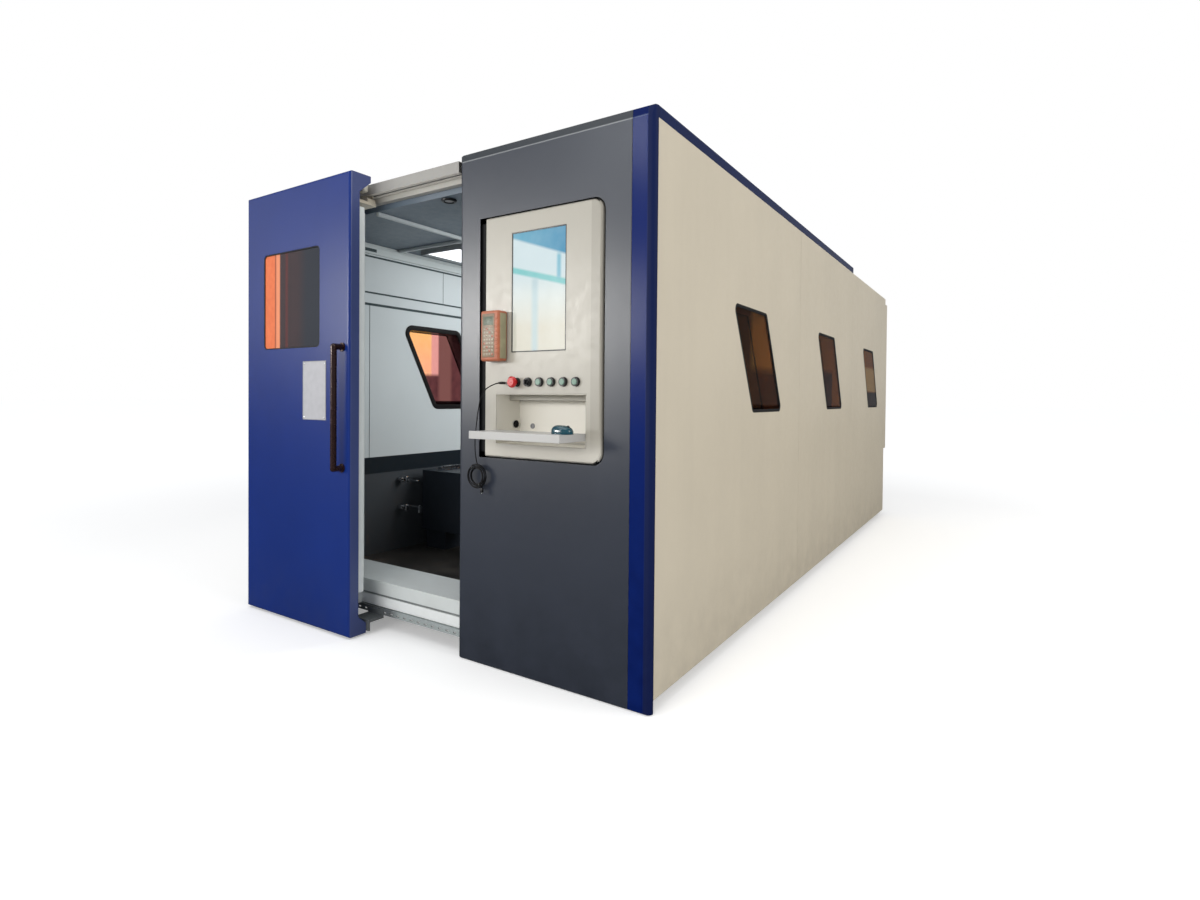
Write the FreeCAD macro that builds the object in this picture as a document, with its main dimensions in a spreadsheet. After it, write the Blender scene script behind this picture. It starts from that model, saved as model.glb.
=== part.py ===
import FreeCAD, Part
import math
import os
import re

# Enclosed fibre laser cutting machine, millimetres, +Z up.
# The operator's front faces -Y and the machine's length runs along +Y.  The
# origin is on the floor at the middle of the overall box.  Drawing
# coordinates are used below: "side" s is measured leftwards from the right
# hand side panel, "depth" d rearwards from the front of the control pod.

doc = FreeCAD.newDocument("FiberLaserCuttingMachine")

# ------------------------------------------------------------------ sheet
dims = doc.addObject("Spreadsheet::Sheet", "Dims")
TABLE = [
    ("half_span", 1252.0), ("depth_shift", 2535.0),
    ("mach_width", 2440.0), ("mach_length", 5128.0), ("front_height", 2300.0),
    ("rear_height", 2254.0), ("panel_bottom", 55.0), ("panel_top", 2255.0),
    ("skin", 2.0), ("pan_depth", 25.0), ("wall_build", 107.0),
    ("seam_one", 1950.0), ("seam_two", 3517.0), ("panel_start", 61.0), ("right_start", 23.0),
    # side windows
    ("window_start", 825.0), ("window_pitch", 1575.0), ("window_width", 470.0),
    ("window_slant", 271.0), ("window_low", 1141.0), ("window_high", 1658.0),
    ("window_radius", 22.0), ("sleeve_wall", 3.0), ("pane_thick", 8.0),
    # base
    ("foot_height", 60.0), ("foot_radius", 38.0), ("beam_high", 170.0),
    ("beam_wide", 100.0), ("beam_wall", 6.0), ("tail_length", 162.0),
    ("floor_top", 176.0), ("post", 60.0),
    # control pod
    ("column_wide", 100.0), ("column_depth", 22.0), ("column_radius", 20.0),
    ("pod_wide", 1014.0), ("pod_depth", 770.0), ("face_depth", 88.0),
    ("pod_skin", 3.0), ("band_high", 32.0), ("band_lean", 5.0), ("pod_top", 2166.0), ("pod_edge", 28.0),
    # console
    ("console_right", 226.0), ("console_left", 832.0), ("console_low", 940.0),
    ("console_high", 1987.0), ("console_proud", 12.0), ("console_deep", 22.0),
    ("console_radius", 44.0), ("gap_left", 48.0), ("gap_rim", 8.0),
    ("screen_right", 397.0), ("screen_wide", 288.0), ("screen_low", 1393.0),
    ("screen_tall", 512.0), ("monitor_deep", 52.0),
    ("niche_right", 297.0), ("niche_wide", 472.0), ("niche_low", 1000.0),
    ("niche_tall", 213.0), ("niche_deep", 160.0),
    ("switch_height", 1266.0), ("switch_first", 344.0), ("switch_pitch", 61.5),
    ("panel_hole", 11.25),
    ("tray_gap", 3.0), ("tray_thick", 30.0), ("tray_low", 1029.0),
    ("tray_front", 182.0), ("tray_back", 6.0), ("tray_pivot_depth", 4.0),
    ("tray_pivot_high", 1033.0), ("tray_pin", 4.0),
    # doorway and sliding door
    ("jamb_side", 1760.0), ("sill_top", 240.0), ("sill_front", 50.0),
    ("sill_back", 300.0), ("fascia_front", 58.0), ("fascia_thick", 30.0),
    ("fascia_low", 2200.0), ("fascia_high", 2290.0),
    ("track_front", 2.0), ("track_wide", 55.0), ("track_low", 2228.0),
    ("track_tall", 52.0), ("track_wall", 3.0), ("track_slot", 12.0),
    ("door_right", 1591.0), ("door_wide", 913.0), ("door_face", 156.0),
    ("door_back", 100.0), ("door_low", 10.0), ("door_skin", 3.0),
    ("door_window_right", 1832.0), ("door_window_wide", 506.0),
    ("door_window_low", 1449.0), ("door_window_tall", 515.0),
    ("door_window_radius", 26.0), ("inner_thick", 36.0),
    ("handle_side", 1645.0), ("handle_low", 845.0), ("handle_high", 1441.0),
    ("handle_radius", 15.0), ("handle_reach", 64.0),
    ("wheel_radius", 20.0), ("hanger_side", 1695.0), ("hanger_step", 663.0),
    # roof
    ("roof_low", 2171.0), ("trim_wide", 42.0), ("roof_start", 89.0),
    # machine inside
    ("bed_side", 190.0), ("bed_wide", 2060.0), ("bed_front", 900.0),
    ("bed_length", 3950.0), ("bed_low", 300.0), ("bed_top", 700.0),
    ("bed_beam", 220.0), ("bed_cross", 150.0), ("rail_tall", 25.0),
    ("rail_wide", 30.0), ("table_side", 432.0), ("table_wide", 1576.0),
    ("table_front", 1080.0), ("table_length", 3100.0), ("table_low", 560.0),
    ("table_top", 640.0), ("slat_tall", 60.0), ("slat_thick", 3.0),
    ("slat_pitch", 100.0), ("slat_count", 30.0),
    ("gantry_place", 3900.0), ("gantry_low", 900.0), ("gantry_tall", 220.0),
    ("gantry_wide", 220.0), ("truck_run", 360.0),
]
row = 1
for alias, value in TABLE:
    dims.set("A%d" % row, alias)
    dims.set("B%d" % row, repr(value))
    dims.setAlias("B%d" % row, alias)
    row += 1
doc.recompute()
VALUE = dict(TABLE)


def ex(text):
    """Turn 'half_span - pod_wide' into an expression on the sheet."""
    if not isinstance(text, str):
        return repr(float(text))
    return re.sub(r"[a-z_]+", lambda m: "Dims." + m.group(0), text)


def val(text):
    if not isinstance(text, str):
        return float(text)
    return float(read_sum(text))


def read_sum(text):
    """A tiny sum reader for '+', '-', '*' and '/' without brackets."""
    tokens = re.findall(r"[a-z_]+|\d+\.?\d*|[-+*/]", text)
    total, sign, i = 0.0, 1.0, 0
    while i < len(tokens):
        if tokens[i] in "+-":
            sign = 1.0 if tokens[i] == "+" else -1.0
            i += 1
            continue
        factor = VALUE[tokens[i]] if tokens[i] in VALUE else float(tokens[i])
        i += 1
        while i < len(tokens) and tokens[i] in "*/":
            nxt = VALUE[tokens[i + 1]] if tokens[i + 1] in VALUE else float(tokens[i + 1])
            factor = factor * nxt if tokens[i] == "*" else factor / nxt
            i += 2
        total += sign * factor
        sign = 1.0
    return total


NODES = []


def node(obj, label):
    obj.Label = label
    NODES.append(obj)
    return obj


def place(obj, x, y, z):
    for key, text in (("x", x), ("y", y), ("z", z)):
        obj.setExpression("Placement.Base." + key, ex(text))


def sx(left):
    """X of the drawing side coordinate given as text (its larger value)."""
    return "half_span - " + left.replace("+", "#").replace("-", "+").replace("#", "-")


def box(name, x, y, z, lx, ly, lz):
    b = doc.addObject("Part::Box", name)
    b.setExpression("Length", ex(lx))
    b.setExpression("Width", ex(ly))
    b.setExpression("Height", ex(lz))
    place(b, x, y, z)
    return b


def sbox(name, s0, s1, d0, d1, z0, z1):
    """A block from side s0 to s1, depth d0 to d1 and height z0 to z1."""
    def diff(a, b):
        if not isinstance(a, str) and not isinstance(b, str):
            return a - b
        a = a if isinstance(a, str) else repr(float(a))
        b = b if isinstance(b, str) else ("0 - %r" % abs(float(b)) if b < 0 else repr(float(b)))
        return a + " - " + b.replace("+", "#").replace("-", "+").replace("#", "-")
    s1t = s1 if isinstance(s1, str) else repr(float(s1))
    d0t = d0 if isinstance(d0, str) else repr(float(d0))
    return box(name, sx(s1t), d0t + " - depth_shift", z0,
               diff(s1, s0), diff(d1, d0), diff(z1, z0))


def cut(name, base, tool):
    c = doc.addObject("Part::Cut", name)
    c.Base = base
    c.Tool = tool
    return c


def fuse(name, shapes):
    f = doc.addObject("Part::MultiFuse", name)
    f.Shapes = shapes
    return f


def group(name, shapes):
    g = doc.addObject("Part::Compound", name)
    g.Links = shapes
    return g


def cylinder(name, x, y, z, radius, height, axis="z"):
    c = doc.addObject("Part::Cylinder", name)
    c.setExpression("Radius", ex(radius))
    c.setExpression("Height", ex(height))
    if axis == "y":      # runs towards +Y
        c.Placement = FreeCAD.Placement(FreeCAD.Vector(0, 0, 0), FreeCAD.Rotation(FreeCAD.Vector(1, 0, 0), -90))
    if axis == "x":      # runs towards +X
        c.Placement = FreeCAD.Placement(FreeCAD.Vector(0, 0, 0), FreeCAD.Rotation(FreeCAD.Vector(0, 1, 0), 90))
    place(c, x, y, z)
    return c


def plane_of(body, role):
    for f in body.Origin.OriginFeatures:
        if f.Role == role:
            return f
    raise RuntimeError("no plane " + role)


def sketch_polygon(body, name, role, points, offset=None):
    """Closed polygon whose every vertex is held by two sheet dimensions."""
    sk = body.newObject("Sketcher::SketchObject", name)
    sk.AttachmentSupport = [(plane_of(body, role), "")]
    sk.MapMode = "FlatFace"
    if offset is not None:
        sk.setExpression("AttachmentOffset.Base.z", ex(offset))
    add_loop(sk, points)
    return sk


def add_loop(sk, points):
    V = FreeCAD.Vector
    n = len(points)
    first = sk.GeometryCount
    xy = [(val(px), val(py)) for px, py in points]
    for i in range(n):
        a, b = xy[i], xy[(i + 1) % n]
        sk.addGeometry(Part.LineSegment(V(a[0], a[1], 0), V(b[0], b[1], 0)), False)
    import Sketcher
    for i in range(n):
        sk.addConstraint(Sketcher.Constraint("Coincident", first + i, 2, first + (i + 1) % n, 1))
    for i, (px, py) in enumerate(points):
        for kind, text, number in (("DistanceX", px, xy[i][0]), ("DistanceY", py, xy[i][1])):
            if abs(number) < 1e-9:
                which = "PointOnObject"
                axis = -2 if kind == "DistanceX" else -1
                sk.addConstraint(Sketcher.Constraint(which, first + i, 1, axis))
            else:
                k = sk.addConstraint(Sketcher.Constraint(kind, -1, 1, first + i, 1, number))
                if isinstance(text, str) and re.search("[a-z_]", text):
                    sk.setExpression("Constraints[%d]" % k, ex(text))


def new_body(name):
    return doc.addObject("PartDesign::Body", name)


def pad(body, sketch, length, name="Pad", reverse=False):
    p = body.newObject("PartDesign::Pad", name)
    p.Profile = sketch
    p.setExpression("Length", ex(length))
    p.Reversed = reverse
    return p


def pocket(body, sketch, length, name="Pocket", reverse=False, through=False):
    p = body.newObject("PartDesign::Pocket", name)
    p.Profile = sketch
    if through:
        p.Type = 1
        p.Midplane = True
    else:
        p.setExpression("Length", ex(length))
    p.Reversed = reverse
    return p


def edges_where(shape, test):
    return ["Edge%d" % (i + 1) for i, e in enumerate(shape.Edges) if test(e)]


def fillet(body, base, test, radius, name="Fillet"):
    doc.recompute()
    names = edges_where(base.Shape, test)
    if not names:
        raise RuntimeError("no edge for " + name)
    f = body.newObject("PartDesign::Fillet", name)
    f.Base = (base, names)
    f.setExpression("Radius", ex(radius))
    return f


def along(edge, axis):
    """True for a straight edge that runs along one axis (0, 1 or 2)."""
    a, b = edge.Vertexes[0].Point, edge.Vertexes[-1].Point
    d = [abs(a[i] - b[i]) for i in range(3)]
    return d[axis] > 1e-6 and all(d[i] < 1e-6 for i in range(3) if i != axis)


def mid(edge):
    a, b = edge.Vertexes[0].Point, edge.Vertexes[-1].Point
    return [(a[i] + b[i]) / 2.0 for i in range(3)]


def revolve_y(name, profile):
    """A turned part about its own Y axis; profile is (radius, depth)."""
    body = new_body(name)
    sk = sketch_polygon(body, name + "Profile", "XY_Plane", profile)
    r = body.newObject("PartDesign::Revolution", name + "Turn")
    r.Profile = sk
    r.ReferenceAxis = (sk, ["V_Axis"])
    r.Angle = 360.0
    return body


# ------------------------------------------------------------------ base
tubes = []
for tag, left in (("R", "beam_wide + 26"), ("L", "mach_width - 26")):
    outer = sbox("BeamOuter" + tag, left + " - beam_wide", left, 90, "mach_length + tail_length", "foot_height", "beam_high")
    hollow = sbox("BeamHollow" + tag, left + " - beam_wide + beam_wall", left + " - beam_wall", 80,
                  "mach_length + tail_length + 10", "foot_height + beam_wall", "beam_high - beam_wall")
    tubes.append(cut("BaseBeam" + tag, outer, hollow))
node(group("BaseBeams", tubes), "base_beams")

feet = []
count = 0
for left in ("beam_wide/2 + 50", "mach_width - beam_wide/2 - 50"):
    for depth in (180.0, 1900.0, 3500.0, 5040.0):
        count += 1
        foot = new_body("Foot%d" % count)
        sk = sketch_polygon(foot, "FootProfile%d" % count, "XZ_Plane",
                            [(0, 0), ("foot_radius", 0), ("foot_radius", 10), ("foot_radius - 16", 20),
                             (18, 20), (18, 30), (12, 30), (12, "foot_height - 14"), (19, "foot_height - 14"),
                             (19, "foot_height"), (0, "foot_height")])
        turn = foot.newObject("PartDesign::Revolution", "FootTurn%d" % count)
        turn.Profile = sk
        turn.ReferenceAxis = (sk, ["V_Axis"])
        turn.Angle = 360.0
        place(foot, sx(left), "%s - depth_shift" % depth, 0)
        feet.append(foot)
node(group("LevellingFeet", feet), "levelling_feet")

floor_main = sbox("FloorMain", 88, "mach_width - 88", 92, 5064, "beam_high", "floor_top")
node(floor_main, "floor_plate")

# Welded tube frame between the outer panels and the inner liners.
members = []
for tag, near in (("R", 26.0), ("L", None)):
    for i, depth in enumerate((95.0, 1950.0 - 30.0, 3517.0 - 30.0, 5000.0)):
        lo = near if near is not None else "mach_width - 26 - post"
        hi = "post + 26" if near is not None else "mach_width - 26"
        members.append(sbox("Post%s%d" % (tag, i), lo, hi, depth, "%s + post" % depth, "beam_high", 2170))
    lo = near if near is not None else "mach_width - 26 - post"
    hi = "post + 26" if near is not None else "mach_width - 26"
    members.append(sbox("TopRail" + tag, lo, hi, 95, 5060, 2110, 2170))
side_frames = [fuse("SideFrameR", members[:5]), fuse("SideFrameL", members[5:])]
node(group("SideFrames", side_frames), "side_frames")

# ---------------------------------------------------------- side panels
WINDOWS = ("window_start", "window_start + window_pitch", "window_start + 2*window_pitch")


def window_points(start, origin, grow=0.0):
    """The slanted window in a panel's own depth/height coordinates."""
    o = origin.replace("+", "#").replace("-", "+").replace("#", "-")
    zlow = "window_low - %s - %s" % (grow, "PB")
    zlow = zlow.replace("PB", "panel_bottom")
    zhigh = "window_high + %s - panel_bottom" % grow
    return [("%s + window_slant - %s - %s" % (start, grow, o), zlow),
            ("%s + window_slant + window_width + %s - %s" % (start, grow, o), zlow),
            ("%s + window_width + %s - %s" % (start, grow, o), zhigh),
            ("%s - %s - %s" % (start, grow, o), zhigh)]


def side_panel(name, label, d0, d1, top, window, right):
    """Folded pan: skin outside, 25 mm returns round it, a slanted window."""
    body = new_body(name)
    run = "%s - %s" % (d1, d0.replace("+", "#").replace("-", "+").replace("#", "-"))
    tall = top + " - panel_bottom"
    sk = sketch_polygon(body, name + "Outline", "YZ_Plane", [(0, 0), (run, 0), (run, tall), (0, tall)])
    pad(body, sk, "pan_depth", name + "Plate")
    inner = [("skin", "skin"), (run + " - skin", "skin"), (run + " - skin", tall + " - skin"), ("skin", tall + " - skin")]
    sk2 = sketch_polygon(body, name + "Fold", "YZ_Plane", inner, offset=0 if right else "pan_depth")
    pocket(body, sk2, "pan_depth - skin", name + "Hollow", reverse=right)
    sk3 = sketch_polygon(body, name + "Window", "YZ_Plane", window_points(window, d0), offset="pan_depth/2")
    hole = pocket(body, sk3, 0, name + "Hole", through=True)
    skin_x = VALUE["pan_depth"] - 1.0 if right else 1.0
    zl, zh = val("window_low - panel_bottom"), val("window_high - panel_bottom")
    fillet(body, hole, lambda e: along(e, 0) and abs(mid(e)[0] - skin_x) < 1.1 and
           (abs(mid(e)[2] - zl) < 1 or abs(mid(e)[2] - zh) < 1), "window_radius", name + "Corners")
    if right:
        place(body, "half_span - pan_depth", d0 + " - depth_shift", "panel_bottom")
    else:
        place(body, "half_span - mach_width", d0 + " - depth_shift", "panel_bottom")
    return node(body, label) if label else body


SPANS = (("front", "panel_start", "seam_one - 1", "panel_top"),
         ("middle", "seam_one + 1", "seam_two - 1", "panel_top"),
         ("rear", "seam_two + 1", "mach_length", "rear_height"))
for (tag, d0, d1, top), start in zip(SPANS, WINDOWS):
    side_panel("Right" + tag.capitalize(), "right_panel_" + tag, "right_start" if tag == "front" else d0, d1, top, start, True)
left_pans = []
for (tag, d0, d1, top), start in zip(SPANS, WINDOWS):
    left_pans.append(side_panel("Left" + tag.capitalize(), None, d0, d1, top, start, False))
node(group("LeftSidePanels", left_pans), "left_side_panels")

# Inner liners: a 20 mm pan each side with a sleeve round every window that
# reaches the outer skin.  The right one starts behind the control pod.
liners = []
for tag, d0 in (("R", "pod_depth + 6"), ("L", "fascia_front + 34")):
    body = new_body("Liner" + tag)
    run = "4998 - " + d0.replace("+", "-")
    tall = "2108 - floor_top"
    deep = "wall_build - 2 - post - 26"
    sk = sketch_polygon(body, "LinerOutline" + tag, "YZ_Plane", [(0, 0), (run, 0), (run, tall), (0, tall)])
    pad(body, sk, deep, "LinerPlate" + tag)
    side = (tag == "R")
    inner = [(2, 2), (run + " - 2", 2), (run + " - 2", tall + " - 2"), (2, tall + " - 2")]
    sk2 = sketch_polygon(body, "LinerFold" + tag, "YZ_Plane", inner, offset=deep if side else 0)
    pocket(body, sk2, deep + " - 2", "LinerHollow" + tag, reverse=not side)
    # horizontal shadow grooves of the upper service band
    for k, high in enumerate((1790.0, 1863.0)):
        gz = "%s - floor_top" % high
        g = sketch_polygon(body, "Groove%s%d" % (tag, k), "YZ_Plane",
                           [(0, gz), (run, gz), (run, gz + " + 5"), (0, gz + " + 5")], offset=0 if side else deep)
        pocket(body, g, 1.2, "GrooveCut%s%d" % (tag, k), reverse=side)
    last = None
    for k, start in enumerate(WINDOWS):
        pts = window_points(start, d0)
        pts = [(a, b.replace("panel_bottom", "floor_top")) for a, b in pts]
        big = window_points(start, d0, 3.0)
        big = [(a, b.replace("panel_bottom", "floor_top")) for a, b in big]
        ring = sketch_polygon(body, "Sleeve%s%d" % (tag, k), "YZ_Plane", big, offset=0 if side else deep)
        # the sleeve runs from the liner's inner face out to the panel skin
        pad(body, ring, "wall_build - pane_thick - 6" if side else "wall_build - skin - 1", "SleevePad%s%d" % (tag, k),
            reverse=not side)
        hole = sketch_polygon(body, "SleeveHole%s%d" % (tag, k), "YZ_Plane", pts, offset=0)
        last = pocket(body, hole, 0, "SleeveBore%s%d" % (tag, k), through=True)
    body.Tip = last
    if side:
        place(body, "half_span - wall_build", d0 + " - depth_shift", "floor_top")
    else:
        place(body, "half_span - mach_width + wall_build - wall_build + 88", d0 + " - depth_shift", "floor_top")
    liners.append(body)
node(group("InnerLiners", liners), "inner_liners")

# Amber laser-safe panes: the right ones lie against the outer skin, the left
# ones sit in their sleeves close behind the liner face.
panes = []
for tag in ("R", "L"):
    for k, start in enumerate(WINDOWS):
        body = new_body("Pane%s%d" % (tag, k))
        pts = window_points(start, "0", 10.0 if tag == "R" else 0.0)
        sk = sketch_polygon(body, "PaneOutline%s%d" % (tag, k), "YZ_Plane",
                            [(a, b.replace(" - panel_bottom", "")) for a, b in pts])
        pad(body, sk, "pane_thick", "PaneSlab%s%d" % (tag, k))
        place(body, "half_span - skin - pane_thick" if tag == "R" else "half_span - mach_width + wall_build - pane_thick - 2",
              "0 - depth_shift", 0)
        panes.append(body)
node(group("WindowPanes", panes), "window_panes")

# ------------------------------------------------------------------ roof
front_roof = cut("RoofFront", sbox("RoofFrontBox", 44, "mach_width - 44", "roof_start", "seam_two - 1", "roof_low", "fascia_high"),
                 sbox("RoofFrontVoid", 46, "mach_width - 46", "roof_start + 2", "seam_two - 3", "roof_low + 2", "fascia_high - 2"))
rear_roof = cut("RoofRear", sbox("RoofRearBox", 27, "mach_width - 27", "seam_two + 1", "mach_length", "roof_low", "rear_height - 4"),
                sbox("RoofRearVoid", 29, "mach_width - 29", "seam_two + 3", "mach_length - 2", "roof_low + 2", "rear_height - 6"))
node(group("RoofCassettes", [front_roof, rear_roof]), "roof_cassettes")

trims = []
for tag in ("R", "L"):
    body = new_body("Trim" + tag)
    tall = "front_height - panel_top"
    if tag == "R":
        pts = [(0, tall + " - 4"), ("trim_wide - 4", tall + " - 4"), ("trim_wide - 4", 0), ("trim_wide", 0),
               ("trim_wide", tall), (0, tall)]
    else:
        pts = [(0, 0), (4, 0), (4, tall + " - 4"), ("trim_wide", tall + " - 4"), ("trim_wide", tall), (0, tall)]
    sk = sketch_polygon(body, "TrimProfile" + tag, "XZ_Plane", pts)
    begin = "right_start" if tag == "R" else "panel_start"
    pad(body, sk, "seam_two - " + begin, "TrimRun" + tag, reverse=True)
    place(body, "half_span - trim_wide" if tag == "R" else "half_span - mach_width", begin + " - depth_shift", "panel_top")
    trims.append(body)
node(group("RoofTrims", trims), "roof_trims")

# ------------------------------------------------- blue column and the pod
column = new_body("Column")
sk = sketch_polygon(column, "ColumnPlan", "XY_Plane",
                    [(0, 0), ("column_wide", 0), ("column_wide", "column_depth"), (0, "column_depth")])
p = pad(column, sk, "front_height - 4", "ColumnPad")
f = fillet(column, p, lambda e: along(e, 2) and mid(e)[0] > 50 and mid(e)[1] < 10, "column_radius", "ColumnCorner")
sk = sketch_polygon(column, "ColumnCore", "XY_Plane",
                    [(3, 3), ("column_wide - 20", 3), ("column_wide - 11.5", 5.28), ("column_wide - 5.28", 11.5),
                     ("column_wide - 3", "column_depth - 3"), (3, "column_depth - 3")])
pocket(column, sk, "front_height - 4 - band_high - 2", "ColumnHollow", reverse=True)
slope = [(0, "front_height - 4 - band_high"), ("band_lean", "front_height - 4"), (0, "front_height - 4")]
sk = sketch_polygon(column, "ColumnBand", "YZ_Plane", slope, offset=0)
pocket(column, sk, 0, "ColumnBandCut", through=True)
place(column, "half_span - column_wide", "0 - depth_shift", 4)
node(column, "corner_column")

pod = new_body("Pod")
face_wide = "pod_wide - column_wide - 1"
sk = sketch_polygon(pod, "PodFacePlan", "XY_Plane", [(0, 0), (face_wide, 0), (face_wide, "face_depth"), (0, "face_depth")])
p = pad(pod, sk, "front_height - 4", "PodFace")
f = fillet(pod, p, lambda e: (along(e, 2) and mid(e)[0] < 1 and mid(e)[1] < 1) or
           (along(e, 1) and mid(e)[0] < 1), "pod_edge", "PodEdges")
# the front face leans back a little in a band along the top
sk = sketch_polygon(pod, "PodBand", "YZ_Plane", slope, offset=0)
pocket(pod, sk, 0, "PodBandCut", through=True)
sk = sketch_polygon(pod, "PodBodyPlan", "XY_Plane",
                    [(0, 40), (face_wide, 40), (face_wide, "pod_depth"), (0, "pod_depth")], offset="floor_top - 4")
pad(pod, sk, "pod_top - floor_top", "PodBody")
sk = sketch_polygon(pod, "PodCore", "XY_Plane",
                    [("pod_skin + 8", "pod_skin"), (face_wide, "pod_skin"), (face_wide, "pod_depth - pod_skin"),
                     ("pod_skin", "pod_depth - pod_skin"), ("pod_skin", "pod_skin + 8")], offset="floor_top - 4")
pocket(pod, sk, "pod_top - floor_top - pod_skin", "PodHollow", reverse=True)
sk = sketch_polygon(pod, "PodFoot", "XY_Plane",
                    [("pod_skin + 8", "pod_skin"), (face_wide, "pod_skin"), (face_wide, "face_depth"),
                     ("pod_skin", "face_depth"), ("pod_skin", "pod_skin + 8")])
pocket(pod, sk, "floor_top - 4", "PodFootHollow", reverse=True)
sk = sketch_polygon(pod, "PodHead", "XY_Plane",
                    [(14, 14), (face_wide + " - pod_skin", 14), (face_wide + " - pod_skin", "face_depth - pod_skin"),
                     (14, "face_depth - pod_skin")], offset="front_height - 4 - 14")
pocket(pod, sk, "front_height - 14 - pod_top + 8", "PodHeadHollow")
# opening for the console with the wide shadow gap on its left
sk = sketch_polygon(pod, "ConsoleOpening", "XZ_Plane",
                    [("pod_wide - console_left - gap_left", "console_low - gap_rim - 4"),
                     ("pod_wide - console_right + gap_rim", "console_low - gap_rim - 4"),
                     ("pod_wide - console_right + gap_rim", "console_high + gap_rim - 4"),
                     ("pod_wide - console_left - gap_left", "console_high + gap_rim - 4")])
f = pocket(pod, sk, "pod_skin + 4", "ConsoleCut", reverse=False)
doc.recompute()
fillet(pod, f, lambda e: along(e, 1) and 788 < mid(e)[0] < 808 and mid(e)[1] < 8, "console_radius + gap_rim", "OpeningCorners")
place(pod, "half_span - pod_wide", "0 - depth_shift", 4)
node(pod, "pod_shell")

# -------------------------------------------------------------- console
console = new_body("Console")
cw = "console_left - console_right"
ct = "console_high - console_low"
sk = sketch_polygon(console, "ConsoleOutline", "XZ_Plane", [(0, 0), (cw, 0), (cw, ct), (0, ct)])
p = pad(console, sk, "console_deep", "ConsolePad", reverse=True)
f = fillet(console, p, lambda e: along(e, 1) and mid(e)[0] > 500, "console_radius", "ConsoleCorners")
f = fillet(console, f, lambda e: mid(e)[1] < 0.5 and mid(e)[0] > 560, 9, "ConsoleRoll")
sk = sketch_polygon(console, "ConsoleBack", "XZ_Plane",
                    [("skin", "skin"), (cw + " - 24", "skin"), (cw + " - 14", 14), (cw + " - 14", ct + " - 14"),
                     (cw + " - 24", ct + " - skin"), ("skin", ct + " - skin")], offset="0 - console_deep")
pocket(console, sk, "console_deep - skin", "ConsoleHollow", reverse=True)
for nm, s_r, wide, low, tall in (("Screen", "screen_right", "screen_wide", "screen_low", "screen_tall"),
                                 ("Niche", "niche_right", "niche_wide", "niche_low", "niche_tall")):
    x1 = "console_left - %s" % s_r
    sk = sketch_polygon(console, nm + "Hole", "XZ_Plane",
                        [(x1 + " - " + wide, low + " - console_low"), (x1, low + " - console_low"),
                         (x1, low + " + " + tall + " - console_low"), (x1 + " - " + wide, low + " + " + tall + " - console_low")],
                        offset="0 - skin/2")
    pocket(console, sk, 0, nm + "Cut", through=True)
doc.recompute()
plate_shape = console
place(console, "half_span - console_left", "0 - console_proud - depth_shift", "console_low")
holes = fuse("SwitchHoles", [cylinder("SwitchHole%d" % i, "half_span - switch_first - %d*switch_pitch" % i,
                                      "0 - console_proud - 2 - depth_shift", "switch_height", "panel_hole", 8, "y")
                             for i in range(6)] +
             [sbox("SocketHole", 699, 717, -14, -6, 1257.5, 1266.5)])
node(cut("ConsolePanel", console, holes), "console_panel")

# niche box welded of sheet behind the console, with the tray's pin holes
nb = sbox("NicheOuter", "niche_right - 2", "niche_right + niche_wide + 2", -10, "niche_deep + 2 - 12",
          "niche_low - 2", "niche_low + niche_tall + 2")
nv = sbox("NicheVoid", "niche_right", "niche_right + niche_wide", -20, "niche_deep - 12", "niche_low", "niche_low + niche_tall")
np_ = cylinder("NichePin", "half_span - niche_right - niche_wide - 6", "0 - tray_pivot_depth - depth_shift", "tray_pivot_high",
               "tray_pin + 0.3", "niche_wide + 12", "x")
node(cut("ConsoleRecess", cut("NicheBox", nb, nv), np_), "console_recess")

mon_frame = sbox("MonitorBlock", "screen_right - 16", "screen_right + screen_wide + 16", -10, "monitor_deep - 10",
                 "screen_low - 16", "screen_low + screen_tall + 16")
node(mon_frame, "monitor")

collar = []
for i in range(6):
    ring = revolve_y("Collar%d" % i, [(12.9, 0), (17, 0), (18, 1), (18, 14), (11, 14), (11, 56), (7, 56), (7, 9), (12.9, 9)])
    place(ring, "half_span - switch_first - %d*switch_pitch" % i, "0 - console_proud - 14 - depth_shift", "switch_height")
    collar.append(ring)
node(group("SwitchCollars", collar), "switch_collars")

for i in range(4):
    cap = revolve_y("Push%d" % i, [(0, 0), (11.5, 0), (12.5, 1), (12.5, 8), (6.5, 8), (6.5, 52), (0, 52)])
    place(cap, "half_span - switch_first - %d*switch_pitch" % i, "0 - console_proud - 17 - depth_shift", "switch_height")
    node(cap, "push_button_%d" % (i + 1))

key_round = revolve_y("KeyRound", [(0, 0), (11.5, 0), (12.5, 1), (12.5, 15), (6.5, 15), (6.5, 60), (0, 60)])
place(key_round, "half_span - switch_first - 4*switch_pitch", "0 - console_proud - 21 - depth_shift", "switch_height")
key_lever = box("KeyLever", "half_span - switch_first - 4*switch_pitch - 3", "0 - console_proud - 31 - depth_shift",
                "switch_height - 10", 6, 12, 20)
node(fuse("KeySwitch", [key_round, key_lever]), "key_switch")

stop = revolve_y("EStop", [(0, 0), (17, 0), (24, 8), (24, 15), (15, 20), (12.4, 22), (12.4, 34), (6.5, 34), (6.5, 76), (0, 76)])
place(stop, "half_span - switch_first - 5*switch_pitch", "0 - console_proud - 45 - depth_shift", "switch_height")
node(stop, "e_stop_button")

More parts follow.
